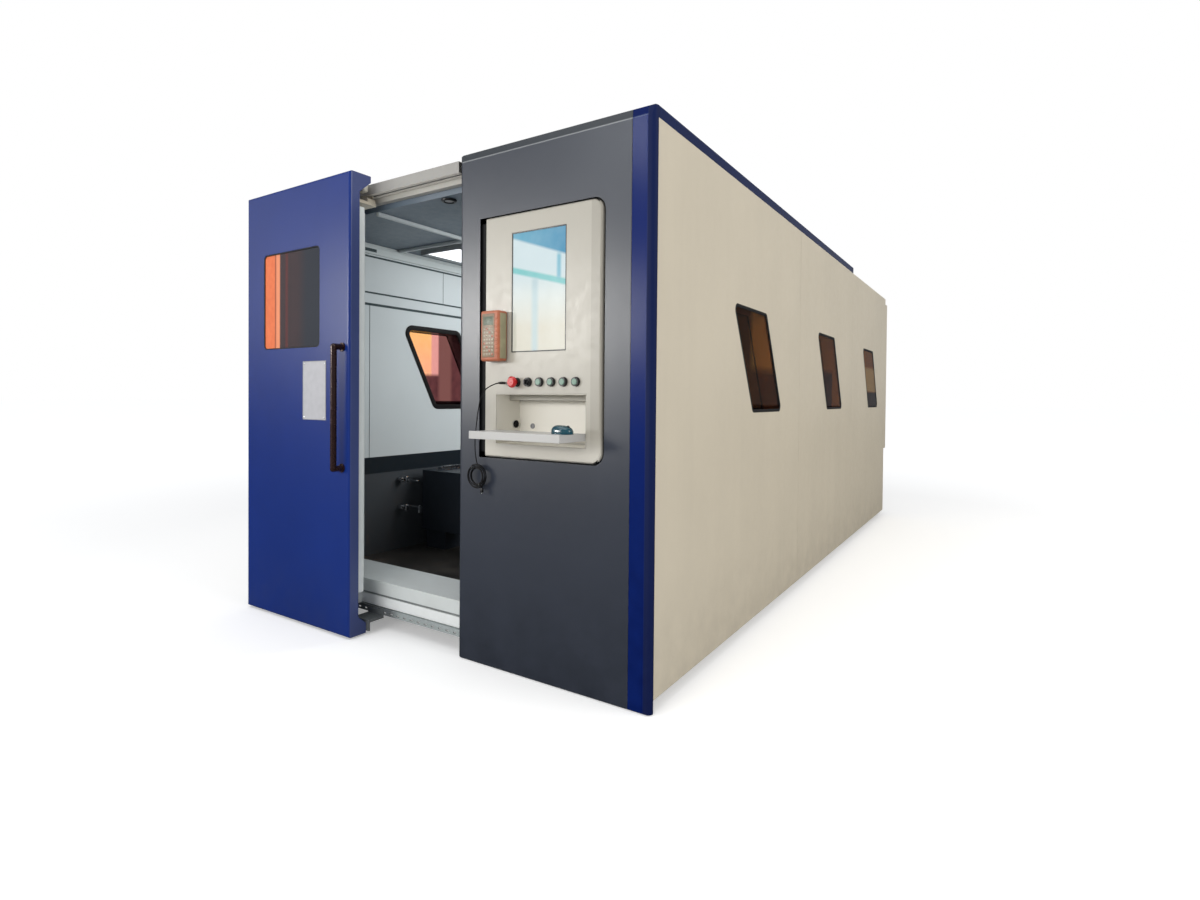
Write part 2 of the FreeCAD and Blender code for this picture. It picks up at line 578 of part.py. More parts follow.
# Fold-up keyboard tray: hollow sheet box turning on its own end pins.
tray_run = "tray_front - tray_back"
tray_wide = "niche_wide - 2*tray_gap"
t_out = sbox("TrayOuter", "niche_right + tray_gap", "niche_right + niche_wide - tray_gap", "0 - tray_front", "0 - tray_back",
             "tray_low", "tray_low + tray_thick")
t_in = sbox("TrayVoid", "niche_right + tray_gap + 2", "niche_right + niche_wide - tray_gap - 2", "0 - tray_front + 2",
            "0 - tray_back - 14", "tray_low + 2", "tray_low + tray_thick - 2")
t_shell = cut("TrayShell", t_out, t_in)
t_pin = cylinder("TrayPins", "half_span - niche_right - niche_wide - 5", "0 - tray_pivot_depth - depth_shift", "tray_pivot_high",
                 "tray_pin", "niche_wide + 10", "x")
node(fuse("KeyboardTray", [t_shell, t_pin]), "keyboard_tray")

mouse = new_body("Mouse")
sk = sketch_polygon(mouse, "MouseSide", "YZ_Plane", [(0, 0), (62, 0), (62, 14), (48, 30), (26, 35), (8, 26), (0, 12)])
p = pad(mouse, sk, 96, "MouseBlock")
doc.recompute()
fillet(mouse, p, lambda e: not along(e, 0) and mid(e)[2] > 5 and (mid(e)[0] < 1 or mid(e)[0] > 95), 9, "MouseEdges")
place(mouse, "half_span - 394", "0 - 132 - depth_shift", "tray_low + tray_thick")
node(mouse, "mouse")

# wireless hand pendant in the holder position at the console's left edge
pend = new_body("Pendant")
sk = sketch_polygon(pend, "PendantOutline", "XZ_Plane", [(0, 0), (104, 0), (104, 216), (0, 216)])
p = pad(pend, sk, 60, "PendantPad", reverse=True)
fillet(pend, p, lambda e: mid(e)[1] < 59 and not (along(e, 0) and mid(e)[1] > 59), 8, "PendantEdges")
place(pend, "half_span - 810", "0 - console_proud - 60 - depth_shift", 1356)
node(pend, "remote_pendant")

# ------------------------------------------------------- lead on the console
# Lead of 4.8 mm section: out of the plug, over the console's left edge,
# down the shadow gap and into a tied coil that hangs on the pod's face.
LEAD_R = 2.4


def P(s, d, z):
    return FreeCAD.Vector(VALUE["half_span"] - s, d - VALUE["depth_shift"], z)


plug = fuse("UsbPlug", [sbox("UsbMetal", 702, 714, -28, -8, 1259.7, 1264.3), sbox("UsbGrip", 699.5, 716.5, -56, -28, 1257, 1267)])
node(plug, "usb_plug")

ROUTE = [P(708, -56, 1262), P(709, -77, 1260), P(722, -93, 1251), P(748, -98, 1238), P(779, -88, 1217),
         P(812, -66, 1192), P(842, -43, 1160), P(862, -31, 1118), P(873, -27, 1070), P(879, -27, 1021),
         P(878, -29, 972), P(871, -30, 930), P(864, -30, 906)]


def lead_wire(points):
    """Straight runs joined by tangent arcs; also returns the arc radii."""
    edges, radii = [], []
    last = points[0]
    for i in range(1, len(points) - 1):
        a, b, c = points[i - 1], points[i], points[i + 1]
        u = (b - a)
        v = (c - b)
        lu, lv = u.Length, v.Length
        u.normalize()
        v.normalize()
        turn = math.acos(max(-1.0, min(1.0, u.dot(v))))
        back = 0.45 * min(lu, lv)
        radius = back / math.tan(turn / 2.0)
        start = b - u * back
        end = b + v * back
        bis = (v - u)
        bis.normalize()
        centre_dist = radius / math.cos(turn / 2.0)
        middle = b + bis * (centre_dist - radius)
        edges.append(Part.LineSegment(last, start).toShape())
        edges.append(Part.Arc(start, middle, end).toShape())
        last = end
        radii.append(radius)
    edges.append(Part.LineSegment(last, points[-1]).toShape())
    return Part.Wire(edges), radii


wire, radii = lead_wire(ROUTE)
first_dir = (ROUTE[1] - ROUTE[0])
first_dir.normalize()
ring = Part.Wire([Part.Circle(ROUTE[0], first_dir, LEAD_R).toShape()])
tube = wire.makePipeShell([ring], True, True)
print("lead radii mm", [round(r, 1) for r in radii], "length", round(wire.Length, 1),
      "volume", round(tube.Volume, 1), "section x length", round(math.pi * LEAD_R ** 2 * wire.Length, 1))
lead = doc.addObject("Part::Feature", "UsbCord")
lead.Shape = tube
node(lead, "usb_cord")

coil = doc.addObject("Part::Torus", "UsbCoil")
coil.Radius1 = 44.0
coil.Radius2 = 11.5
coil.Placement = FreeCAD.Placement(P(864, -30, 862 - 11.4), FreeCAD.Rotation(FreeCAD.Vector(1, 0, 0), 90))
node(coil, "usb_cord_coil")

end_plug = sbox("UsbEndPlug", 826.0, 840.0, -36, -26, 774, 801.4)
node(end_plug, "usb_cord_end")

# ------------------------------------------------------------ doorway front
fixed = cut("FixedFront", sbox("FixedOuter", "jamb_side", "mach_width", 15, 60, 108.2, 2165),
            sbox("FixedVoid", "jamb_side + 2", "mach_width - 2", 17, 61, 110.2, 2163))
node(fixed, "front_fixed_panel")

node(sbox("Fascia", "pod_wide + 1", "mach_width - 26", "fascia_front", "fascia_front + fascia_thick", "fascia_low", "fascia_high"),
     "fascia_beam")

track = new_body("Track")
tw, tt, wl = "track_wide", "track_tall", "track_wall"
slot0 = "track_wide/2 - track_slot/2"
slot1 = "track_wide/2 + track_slot/2"
sk = sketch_polygon(track, "TrackProfile", "YZ_Plane",
                    [(0, 0), (slot0, 0), (slot0, wl), (wl, wl), (wl, tt + " - " + wl), (tw + " - " + wl, tt + " - " + wl),
                     (tw + " - " + wl, wl), (slot1, wl), (slot1, 0), (tw, 0), (tw, tt), (0, tt)])
pad(track, sk, "mach_width - pod_wide - 4", "TrackRun")
place(track, "half_span - mach_width", "track_front - depth_shift", "track_low")
node(track, "top_track")

sill = new_body("Sill")
sk = sketch_polygon(sill, "SillProfile", "YZ_Plane",
                    [(0, 0), (11, 0), (11, "floor_top - 111"), ("sill_back - sill_front", "floor_top - 111"),
                     ("sill_back - sill_front", "sill_top - 111"), (0, "sill_top - 111"), (0, 63), (6, 63), (6, 52), (0, 52)])
pad(sill, sk, "mach_width - wall_build - pod_wide - 2", "SillRun")
place(sill, "half_span - mach_width + wall_build", "sill_front - depth_shift", 111)
sill_cut = sbox("SillCut", "jamb_side - 1", 2500, 40, 60.5, 90, 300)
node(cut("SillFinal", sill, sill_cut), "sill")

guide = new_body("Guide")
sk = sketch_polygon(guide, "GuideProfile", "YZ_Plane", [(0, 0), (4, 0), (4, 28), (22, 28), (22, 32), (0, 32)])
gp = pad(guide, sk, "mach_width - pod_wide - 2", "GuideRun")
sk = sketch_polygon(guide, "GuideSlot", "XZ_Plane", [(16, 9), (36, 9), (36, 17), (16, 17)], offset=-8)
slot = pocket(guide, sk, 16, "GuideSlotCut", reverse=True)
doc.recompute()
pat = guide.newObject("PartDesign::LinearPattern", "GuideSlots")
pat.Originals = [slot]
pat.Direction = (sk, ["H_Axis"])
pat.Length = 1350.0
pat.Occurrences = 28
guide.Tip = pat
place(guide, "half_span - mach_width", "38 - depth_shift", 76)
arm = sbox("GuideArm", 1572, 1690, -53, 37.9, 62, 74)
lip = sbox("GuideLip", 1572, 1690, -53, -45, 20, 62)
web = sbox("GuideWeb", 1572, 1690, 33, 38.1, 62, 100)
node(fuse("BottomGuide", [guide, arm, lip, web]), "bottom_guide")

# ------------------------------------------------------------- sliding door
DOOR_PROFILE = [(0, 0), ("door_face - 55", 0), ("door_face - 55", 50), ("door_face - door_back", 90),
                ("door_face - door_back", "2210 - door_low"), ("door_face - 35", "2268 - door_low"),
                ("door_face - 35", "front_height - door_low"), (0, "front_height - door_low")]
DOOR_INSIDE = [(3, 3), ("door_face - 58", 3), ("door_face - 58", 48), ("door_face - door_back - 3", 88),
               ("door_face - door_back - 3", "2211.4 - door_low"), ("door_face - 38", "2269.6 - door_low"),
               ("door_face - 38", "front_height - door_low - 3"), (3, "front_height - door_low - 3")]
shell = new_body("DoorShell")
sk = sketch_polygon(shell, "DoorSide", "YZ_Plane", DOOR_PROFILE)
p = pad(shell, sk, "door_wide", "DoorPad")
f = fillet(shell, p, lambda e: mid(e)[1] < 0.5 and (along(e, 2) or along(e, 0)), 14, "DoorFrontEdges")
sk = sketch_polygon(shell, "DoorCore", "YZ_Plane",
                    [(6, 6)] + DOOR_INSIDE[1:7] + [(6, "front_height - door_low - 6")], offset="door_skin + 3")
pocket(shell, sk, "door_wide - 2*door_skin - 6", "DoorHollow", reverse=True)
sk = sketch_polygon(shell, "DoorBackOpening", "XZ_Plane",
                    [(22, "232 - door_low"), ("door_wide - 22", "232 - door_low"), ("door_wide - 22", "2128 - door_low"),
                     (22, "2128 - door_low")], offset="0 - door_face + door_back - 4")
pocket(shell, sk, 8, "DoorBackCut", reverse=True)
dwx0 = "door_right + door_wide - door_window_right - door_window_wide"
dwx1 = "door_right + door_wide - door_window_right"
sk = sketch_polygon(shell, "DoorWindow", "XZ_Plane",
                    [(dwx0, "door_window_low - door_low"), (dwx1, "door_window_low - door_low"),
                     (dwx1, "door_window_low + door_window_tall - door_low"), (dwx0, "door_window_low + door_window_tall - door_low")],
                    offset=1)
w = pocket(shell, sk, 12, "DoorWindowCut", reverse=False)
zl, zh = val("door_window_low - door_low"), val("door_window_low + door_window_tall - door_low")
xl, xh = val(dwx0), val(dwx1)
fillet(shell, w, lambda e: along(e, 1) and min(abs(mid(e)[2] - zl), abs(mid(e)[2] - zh)) < 1 and
       min(abs(mid(e)[0] - xl), abs(mid(e)[0] - xh)) < 1, "door_window_radius", "DoorWindowCorners")
place(shell, "half_span - door_right - door_wide", "0 - door_face - depth_shift", "door_low")
node(shell, "door_shell")

# inner panel with the window tunnel that meets the pane
inner = cut("InnerPan", sbox("InnerOuter", "door_right + 10", "door_right + door_wide - 10", "0 - door_back",
                             "0 - door_back + inner_thick", 220, 2140),
            sbox("InnerVoid", "door_right + 12", "door_right + door_wide - 12", "0 - door_back - 1",
                 "0 - door_back + inner_thick - 2", 222, 2138))
tunnel = sbox("TunnelOuter", "door_window_right - 3", "door_window_right + door_window_wide + 3", "0 - door_face + 15",
              "0 - door_back + inner_thick - 1", "door_window_low - 3", "door_window_low + door_window_tall + 3")
hole = sbox("TunnelHole", "door_window_right", "door_window_right + door_window_wide", -200, -50,
            "door_window_low", "door_window_low + door_window_tall")
node(cut("DoorInner", fuse("InnerWithTunnel", [inner, tunnel]), hole), "door_inner_panel")

node(sbox("DoorPane", "door_window_right - 12", "door_window_right + door_window_wide + 12", "0 - door_face + 6.0",
          "0 - door_face + 14", "door_window_low - 12", "door_window_low + door_window_tall + 12"), "door_pane")

bar = cylinder("HandleBar", "half_span - handle_side", "0 - door_face - handle_reach + handle_radius - depth_shift", "handle_low",
               "handle_radius", "handle_high - handle_low", "z")
parts = [bar]
for i, z in enumerate(("handle_low", "handle_high")):
    parts.append(cylinder("HandleEnd%d" % i, "half_span - handle_side",
                          "0 - door_face - handle_reach + handle_radius - depth_shift", z,
                          "handle_radius", "handle_reach - handle_radius", "y"))
    ball = doc.addObject("Part::Sphere", "HandleBall%d" % i)
    ball.setExpression("Radius", ex("handle_radius"))
    place(ball, "half_span - handle_side", "0 - door_face - handle_reach + handle_radius - depth_shift", z)
    parts.append(ball)
    parts.append(cylinder("HandleFoot%d" % i, "half_span - handle_side", "0 - door_face - 5 - depth_shift", z,
                          "handle_radius + 7", 5, "y"))
node(fuse("DoorHandle", parts), "door_handle")

node(sbox("DoorPlate", 1776, 1972, "0 - door_face - 1.5", "0 - door_face", 1077, 1378), "door_plate")

wheel_z = "track_low + track_wall + wheel_radius + 0.3"
mid_d = "track_front + track_wide/2"
hangers = []
for i, side in enumerate(("hanger_side", "hanger_side + hanger_step")):
    plate = sbox("HangerPlate%d" % i, side + " - 36", side + " + 36", mid_d + " - 2.5", mid_d + " + 2.5", 2178,
                 "track_low + track_wall + wheel_radius + 12")
    arm = sbox("HangerArm%d" % i, side + " - 60", side + " + 60", "0 - door_back + 0.0", mid_d + " + 2.5", 2172, 2188)
    back = sbox("HangerBack%d" % i, side + " - 60", side + " + 60", "0 - door_back", "0 - door_back + 8", 2146, 2180)
    ends = [cylinder("HangerRound%d%d" % (i, k), sx(side + t), "0 - depth_shift - 20", 2196,
                     14, mid_d + " + 18", "y") for k, t in enumerate((" - 46", " + 46"))]
    cover = sbox("HangerCover%d" % i, side + " - 46", side + " + 46", -20, mid_d + " - 2", 2182, 2210)
    one = fuse("HangerFuse%d" % i, [plate, arm, back, cover] + ends)
    bore = cylinder("HangerBore%d" % i, sx(side), "0 - depth_shift", wheel_z, 5.4, 80, "y")
    hangers.append(cut("Hanger%d" % i, one, bore))
node(group("DoorHangers", hangers), "door_hangers")

for i, (side, label) in enumerate((("hanger_side", "door_roller_right"), ("hanger_side + hanger_step", "door_roller_left"))):
    prof = [(0, 0), ("wheel_radius", 0), ("wheel_radius", 14), (8, 14), (8, 18.4), (5, 18.4), (5, 26.6), (8, 26.6), (8, 31),
            ("wheel_radius", 31), ("wheel_radius", 45), (0, 45)]
    wheel = revolve_y("Roller%d" % i, prof)
    place(wheel, sx(side), mid_d + " - 22.5 - depth_shift", wheel_z)
    node(wheel, label)

# ------------------------------------------------------------ inside the bay
lamps = []
for i, s0 in enumerate((300.0, "mach_width - 660")):
    s1 = 660.0 if i == 0 else "mach_width - 300"
    lamps.append(sbox("Lamp%d" % i, s0, s1, 796, 2430, 2134, 2170.9))
node(group("CeilingLamps", lamps), "ceiling_lamps")

source = sbox("LaserSource", 160, 640, 200, 740, "floor_top", "floor_top + 640")
node(source, "laser_source")
node(sbox("ControlCabinet", 130, 930, 420, "pod_depth - 3.1", 1000, 2080), "control_cabinet")

# ------------------------------------------------------------------- rear
rear = cut("RearPan", sbox("RearPlate", 27, "mach_width - 27", 5066, "mach_length - 2", 176.5, 2170),
           sbox("RearVoid", 29, "mach_width - 29", 5060, "mach_length - 4", 178.5, 2168))
rear_hole = sbox("RearHole", 400, "mach_width - 400", 5000, 5200, 500, 790)
low_apron = sbox("RearApron", 130, "mach_width - 130", "mach_length - 8", "mach_length - 2", 70, 180)
node(fuse("RearPanel", [cut("RearCut", rear, rear_hole), low_apron]), "rear_panel")
hood = cut("RearHood", sbox("HoodOuter", 0, "mach_width", "mach_length + 1", 5235, 700, 2200),
           sbox("HoodVoid", 3, "mach_width - 3", "mach_length", 5232, 690, 2197))
node(hood, "rear_hood")
gate = fuse("PalletGate", [sbox("GatePlate", 370, "mach_width - 370", 5150, 5156, 480, 810),
                           sbox("GateRibLow", 370, "mach_width - 370", 5156, 5176, 480, 500),
                           sbox("GateRibHigh", 370, "mach_width - 370", 5156, 5176, 790, 810)])
node(gate, "pallet_gate")

# ------------------------------------------------------------ cutting machine
bs, bw, bf, bl = "bed_side", "bed_wide", "bed_front", "bed_length"
bed_parts = [
    sbox("BedRight", bs, "bed_side + bed_beam", bf, "bed_front + bed_length", "bed_low", "bed_top"),
    sbox("BedLeft", "bed_side + bed_wide - bed_beam", "bed_side + bed_wide", bf, "bed_front + bed_length", "bed_low", "bed_top"),
    sbox("BedFront", bs, "bed_side + bed_wide", bf, "bed_front + bed_cross", "bed_low", "bed_top"),
    sbox("BedRear", bs, "bed_side + bed_wide", "bed_front + bed_length - bed_cross", "bed_front + bed_length", "bed_low", 540),
    sbox("LedgeRight", "bed_side + bed_beam - 1", "bed_side + bed_beam + 42", "bed_front + bed_cross", "bed_front + bed_length - bed_cross", 530, "table_low"),
    sbox("LedgeLeft", "bed_side + bed_wide - bed_beam - 42", "bed_side + bed_wide - bed_beam + 1", "bed_front + bed_cross", "bed_front + bed_length - bed_cross", 530, "table_low"),
]
for i, s in enumerate(("bed_side + 20", "bed_side + bed_wide - bed_beam + 20")):
    for k, d in enumerate((920.0, 2780.0, 4640.0)):
        bed_parts.append(sbox("BedLeg%d%d" % (i, k), s, s + " + 180", d, d + 190.0, "floor_top", "bed_low + 10"))
bed_solid = fuse("BedSolid", bed_parts)
voids = [
    sbox("BedVoidR", "bed_side + 12", "bed_side + bed_beam - 12", "bed_front + 12", "bed_front + bed_length + 5", "bed_low + 12", "bed_top - 12"),
    sbox("BedVoidL", "bed_side + bed_wide - bed_beam + 12", "bed_side + bed_wide - 12", "bed_front + 12", "bed_front + bed_length + 5", "bed_low + 12", "bed_top - 12"),
    sbox("BedVoidF", "bed_side + bed_beam - 13", "bed_side + bed_wide - bed_beam + 13", "bed_front + 12", "bed_front + bed_cross - 12", "bed_low + 12", "bed_top - 12"),
]
node(cut("BedFrame", bed_solid, fuse("BedVoids", voids)), "bed_frame")

rails = [sbox("RailR", "bed_side + 95", "bed_side + 95 + rail_wide", 950, 4800, "bed_top", "bed_top + rail_tall"),
         sbox("RailL", "bed_side + bed_wide - 95 - rail_wide", "bed_side + bed_wide - 95", 950, 4800, "bed_top", "bed_top + rail_tall")]
node(group("GantryRails", rails), "gantry_rails")

tf = [sbox("TableSideR", "table_side", "table_side + 60", "table_front", "table_front + table_length", "table_low", "table_top"),
      sbox("TableSideL", "table_side + table_wide - 60", "table_side + table_wide", "table_front", "table_front + table_length", "table_low", "table_top")]
for k in range(8):
    d = "table_front + %d*434" % k
    tf.append(sbox("TableCross%d" % k, "table_side", "table_side + table_wide", d, d + " + 60", "table_low + 10", "table_top - 10"))
node(fuse("TableFrame", tf), "table_frame")

slats = []
for k in range(int(VALUE["slat_count"])):
    d = "table_front + 95 + %d*slat_pitch" % k
    slats.append(sbox("Slat%d" % k, "table_side + 6", "table_side + table_wide - 6", d, d + " + slat_thick", "table_top", "table_top + slat_tall"))
node(group("TableSlats", slats), "table_slats")

gp_, gh = "gantry_place", "gantry_wide/2"
g_parts = [cut("GantryBox", sbox("GantryTube", "bed_side + 20", "bed_side + bed_wide - 20", "gantry_place - gantry_wide/2",
                                 "gantry_place + gantry_wide/2", "gantry_low", "gantry_low + gantry_tall"),
               sbox("GantryHollow", "bed_side + 10", "bed_side + bed_wide - 10", "gantry_place - gantry_wide/2 + 10",
                    "gantry_place + gantry_wide/2 - 10", "gantry_low + 10", "gantry_low + gantry_tall - 10"))]
for i, (s0, s1) in enumerate((("bed_side + 20", "bed_side + 200"), ("bed_side + bed_wide - 200", "bed_side + bed_wide - 20"))):
    g_parts.append(sbox("Truck%d" % i, s0, s1, "gantry_place - truck_run/2", "gantry_place + truck_run/2",
                        "bed_top + rail_tall + 0.5", "gantry_low + 3"))
for i, z in enumerate((930.0, 1070.0)):
    g_parts.append(sbox("CrossRail%d" % i, "bed_side + 120", "bed_side + bed_wide - 120", "gantry_place - gantry_wide/2 - 18",
                        "gantry_place - gantry_wide/2", z, z + 24.0))
node(fuse("GantryBeam", g_parts), "gantry_beam")

cx = "mach_width/2"
carr = fuse("Carriage", [sbox("CarriagePlate", cx + " - 130", cx + " + 130", "gantry_place - gantry_wide/2 - 60", "gantry_place - gantry_wide/2 - 18.5", 905, 1330),
                         sbox("CarriageTop", cx + " - 130", cx + " + 130", "gantry_place - gantry_wide/2 - 60", "gantry_place + 60", 1121, 1160),
                         cylinder("CarriageMotor", sx(cx), "gantry_place - 20 - depth_shift", 1155, 45, 130, "z")])
node(carr, "x_carriage")

hd = "gantry_place - gantry_wide/2"
node(fuse("ZSlide", [sbox("ZPlate", cx + " - 75", cx + " + 75", hd + " - 84", hd + " - 60.5", 890, 1300),
                     sbox("ZClamp", cx + " - 50", cx + " + 50", hd + " - 120", hd + " - 83", 960, 1150)]), "z_slide")
head = new_body("Head")
sk = sketch_polygon(head, "HeadProfile", "XZ_Plane",
                    [(0, 0), (4, 0), (14, 28), (20, 34), (20, 60), (32, 70), (32, 130), (45, 140), (45, 400), (30, 412), (30, 470), (0, 470)])
turn = head.newObject("PartDesign::Revolution", "HeadTurn")
turn.Profile = sk
turn.ReferenceAxis = (sk, ["V_Axis"])
turn.Angle = 360.0
place(head, sx(cx), hd + " - 165.2 - depth_shift", 745)
node(head, "cutting_head")

# ------------------------------------------------------------ check and write
doc.recompute()
bad = []
for obj in doc.Objects:
    if "Invalid" in obj.State or "Error" in obj.State:
        bad.append(obj.Name)
for obj in NODES:
    if obj.Shape.isNull() or not obj.Shape.isValid() or not obj.Shape.Solids:
        bad.append(obj.Label)
if bad:
    raise RuntimeError("failed objects: " + ", ".join(bad))
if len(set(o.Label for o in NODES)) != len(NODES) or len(NODES) > 60:
    raise RuntimeError("node labels repeat or are too many: %d" % len(NODES))

os.makedirs("parts", exist_ok=True)
for old in os.listdir("parts"):
    if old.endswith(".step"):
        os.remove(os.path.join("parts", old))
lo = [1e9] * 3
hi = [-1e9] * 3
total = 0.0
for obj in NODES:
    obj.Shape.exportStep(os.path.join("parts", obj.Label + ".step"))
    bb = obj.Shape.BoundBox
    total += obj.Shape.Volume
    for i, (a, b) in enumerate(((bb.XMin, bb.XMax), (bb.YMin, bb.YMax), (bb.ZMin, bb.ZMax))):
        lo[i] = min(lo[i], a)
        hi[i] = max(hi[i], b)
    print("%-20s solids %2d vol %.5f m3  x %.1f..%.1f y %.1f..%.1f z %.1f..%.1f" %
          (obj.Label, len(obj.Shape.Solids), obj.Shape.Volume / 1e9, bb.XMin, bb.XMax, bb.YMin, bb.YMax, bb.ZMin, bb.ZMax))
print("nodes", len(NODES), "overall", [round(v, 2) for v in lo], [round(v, 2) for v in hi], "volume m3", round(total / 1e9, 4))
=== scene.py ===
import bpy
import bmesh
import math
from mathutils import Vector, Matrix


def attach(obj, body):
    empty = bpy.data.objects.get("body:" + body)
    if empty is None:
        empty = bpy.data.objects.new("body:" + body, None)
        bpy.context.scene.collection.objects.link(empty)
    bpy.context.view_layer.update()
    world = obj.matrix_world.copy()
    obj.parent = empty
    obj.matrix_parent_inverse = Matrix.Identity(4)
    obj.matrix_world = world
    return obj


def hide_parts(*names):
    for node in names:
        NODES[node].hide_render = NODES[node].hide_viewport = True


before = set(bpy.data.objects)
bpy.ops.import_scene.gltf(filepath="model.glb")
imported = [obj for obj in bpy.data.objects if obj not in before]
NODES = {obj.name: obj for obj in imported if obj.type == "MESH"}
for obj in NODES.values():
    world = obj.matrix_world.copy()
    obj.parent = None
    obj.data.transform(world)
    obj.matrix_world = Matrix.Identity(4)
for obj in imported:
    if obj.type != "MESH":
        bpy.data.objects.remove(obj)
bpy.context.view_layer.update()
scene = bpy.context.scene


def W(s, d, z):
    """Drawing coordinates in millimetres (side, depth, height) to the row frame."""
    return Vector(((1252.0 - s) / 1000.0, (d - 2535.0) / 1000.0, z / 1000.0))


# ---------------------------------------------------------------- camera
cam_data = bpy.data.cameras.new("Camera")
cam = bpy.data.objects.new("Camera", cam_data)
scene.collection.objects.link(cam)
cam_data.sensor_fit = "HORIZONTAL"
cam_data.sensor_width = 36.0
cam_data.lens = 641.24 / 1200.0 * 36.0
cam_data.shift_x = 0.0004
cam_data.shift_y = -0.0361
cam_data.clip_end = 500.0
yaw, pitch, roll = (math.radians(v) for v in (32.762, 0.807, 0.492))
look = Vector((-math.sin(yaw) * math.cos(pitch), math.cos(yaw) * math.cos(pitch), -math.sin(pitch)))
right = Vector((math.cos(yaw), math.sin(yaw), 0.0))
up = right.cross(look)
R = right * math.cos(roll) + up * math.sin(roll)
U = up * math.cos(roll) - right * math.sin(roll)
cam.matrix_world = Matrix(((R.x, U.x, -look.x, 2.380), (R.y, U.y, -look.y, -4.660), (R.z, U.z, -look.z, 1.203), (0, 0, 0, 1)))
scene.camera = cam


# ------------------------------------------------------------- materials
def nn(nt, kind, **values):
    n = nt.nodes.new(kind)
    for k, v in values.items():
        if k.startswith("in_"):
            n.inputs[int(k[3:])].default_value = v
        else:
            setattr(n, k, v)
    return n


def base_material(name):
    m = bpy.data.materials.new(name)
    m.use_nodes = True
    nt = m.node_tree
    nt.nodes.clear()
    out = nn(nt, "ShaderNodeOutputMaterial")
    b = nn(nt, "ShaderNodeBsdfPrincipled")
    nt.links.new(b.outputs[0], out.inputs[0])
    return m, nt, b


def coords(nt, scale=None):
    tc = nn(nt, "ShaderNodeTexCoord")
    if scale is None:
        return tc.outputs["Object"]
    mul = nn(nt, "ShaderNodeVectorMath", operation="MULTIPLY")
    mul.inputs[1].default_value = scale
    nt.links.new(tc.outputs["Object"], mul.inputs[0])
    return mul.outputs[0]


def noise(nt, scale, detail=2.0, rough=0.5, stretch=None):
    n = nn(nt, "ShaderNodeTexNoise")
    n.inputs["Scale"].default_value = scale
    n.inputs["Detail"].default_value = detail
    n.inputs["Roughness"].default_value = rough
    nt.links.new(coords(nt, stretch), n.inputs["Vector"])
    return n.outputs["Fac"]


def ramp(nt, value, lo, hi, a=0.0, b=1.0):
    r = nn(nt, "ShaderNodeMapRange")
    r.inputs["From Min"].default_value = lo
    r.inputs["From Max"].default_value = hi
    r.inputs["To Min"].default_value = a
    r.inputs["To Max"].default_value = b
    nt.links.new(value, r.inputs["Value"])
    return r.outputs["Result"]


def mathn(nt, op, a, b=None):
    n = nn(nt, "ShaderNodeMath", operation=op)
    for i, v in enumerate((a, b)):
        if v is None:
            continue
        if isinstance(v, (int, float)):
            n.inputs[i].default_value = v
        else:
            nt.links.new(v, n.inputs[i])
    return n.outputs[0]


def mixc(nt, fac, a, b):
    n = nn(nt, "ShaderNodeMix", data_type="RGBA")
    for sock, v in ((n.inputs[0], fac), (n.inputs[6], a), (n.inputs[7], b)):
        if isinstance(v, (int, float)):
            sock.default_value = v
        elif isinstance(v, (tuple, list)):
            sock.default_value = (v[0], v[1], v[2], 1.0)
        else:
            nt.links.new(v, sock)
    return n.outputs[2]


def xyz(nt):
    s = nn(nt, "ShaderNodeSeparateXYZ")
    nt.links.new(coords(nt), s.inputs[0])
    return s.outputs


def tone(c, f):
    return tuple(max(0.0, v * f) for v in c)


def bump(nt, height, distance, strength=1.0, normal=None):
    b = nn(nt, "ShaderNodeBump")
    b.inputs["Distance"].default_value = distance
    b.inputs["Strength"].default_value = strength
    nt.links.new(height, b.inputs["Height"])
    if normal is not None:
        nt.links.new(normal, b.inputs["Normal"])
    return b.outputs[0]


def bevel_normal(nt, radius):
    b = nn(nt, "ShaderNodeBevel")
    b.samples = 4
    b.inputs["Radius"].default_value = radius
    return b.outputs[0]


def edge_mask(nt, bev):
    g = nn(nt, "ShaderNodeNewGeometry")
    dot = nn(nt, "ShaderNodeVectorMath", operation="DOT_PRODUCT")
    nt.links.new(bev, dot.inputs[0])
    nt.links.new(g.outputs["Normal"], dot.inputs[1])
    return ramp(nt, dot.outputs["Value"], 0.80, 0.97, 1.0, 0.0)


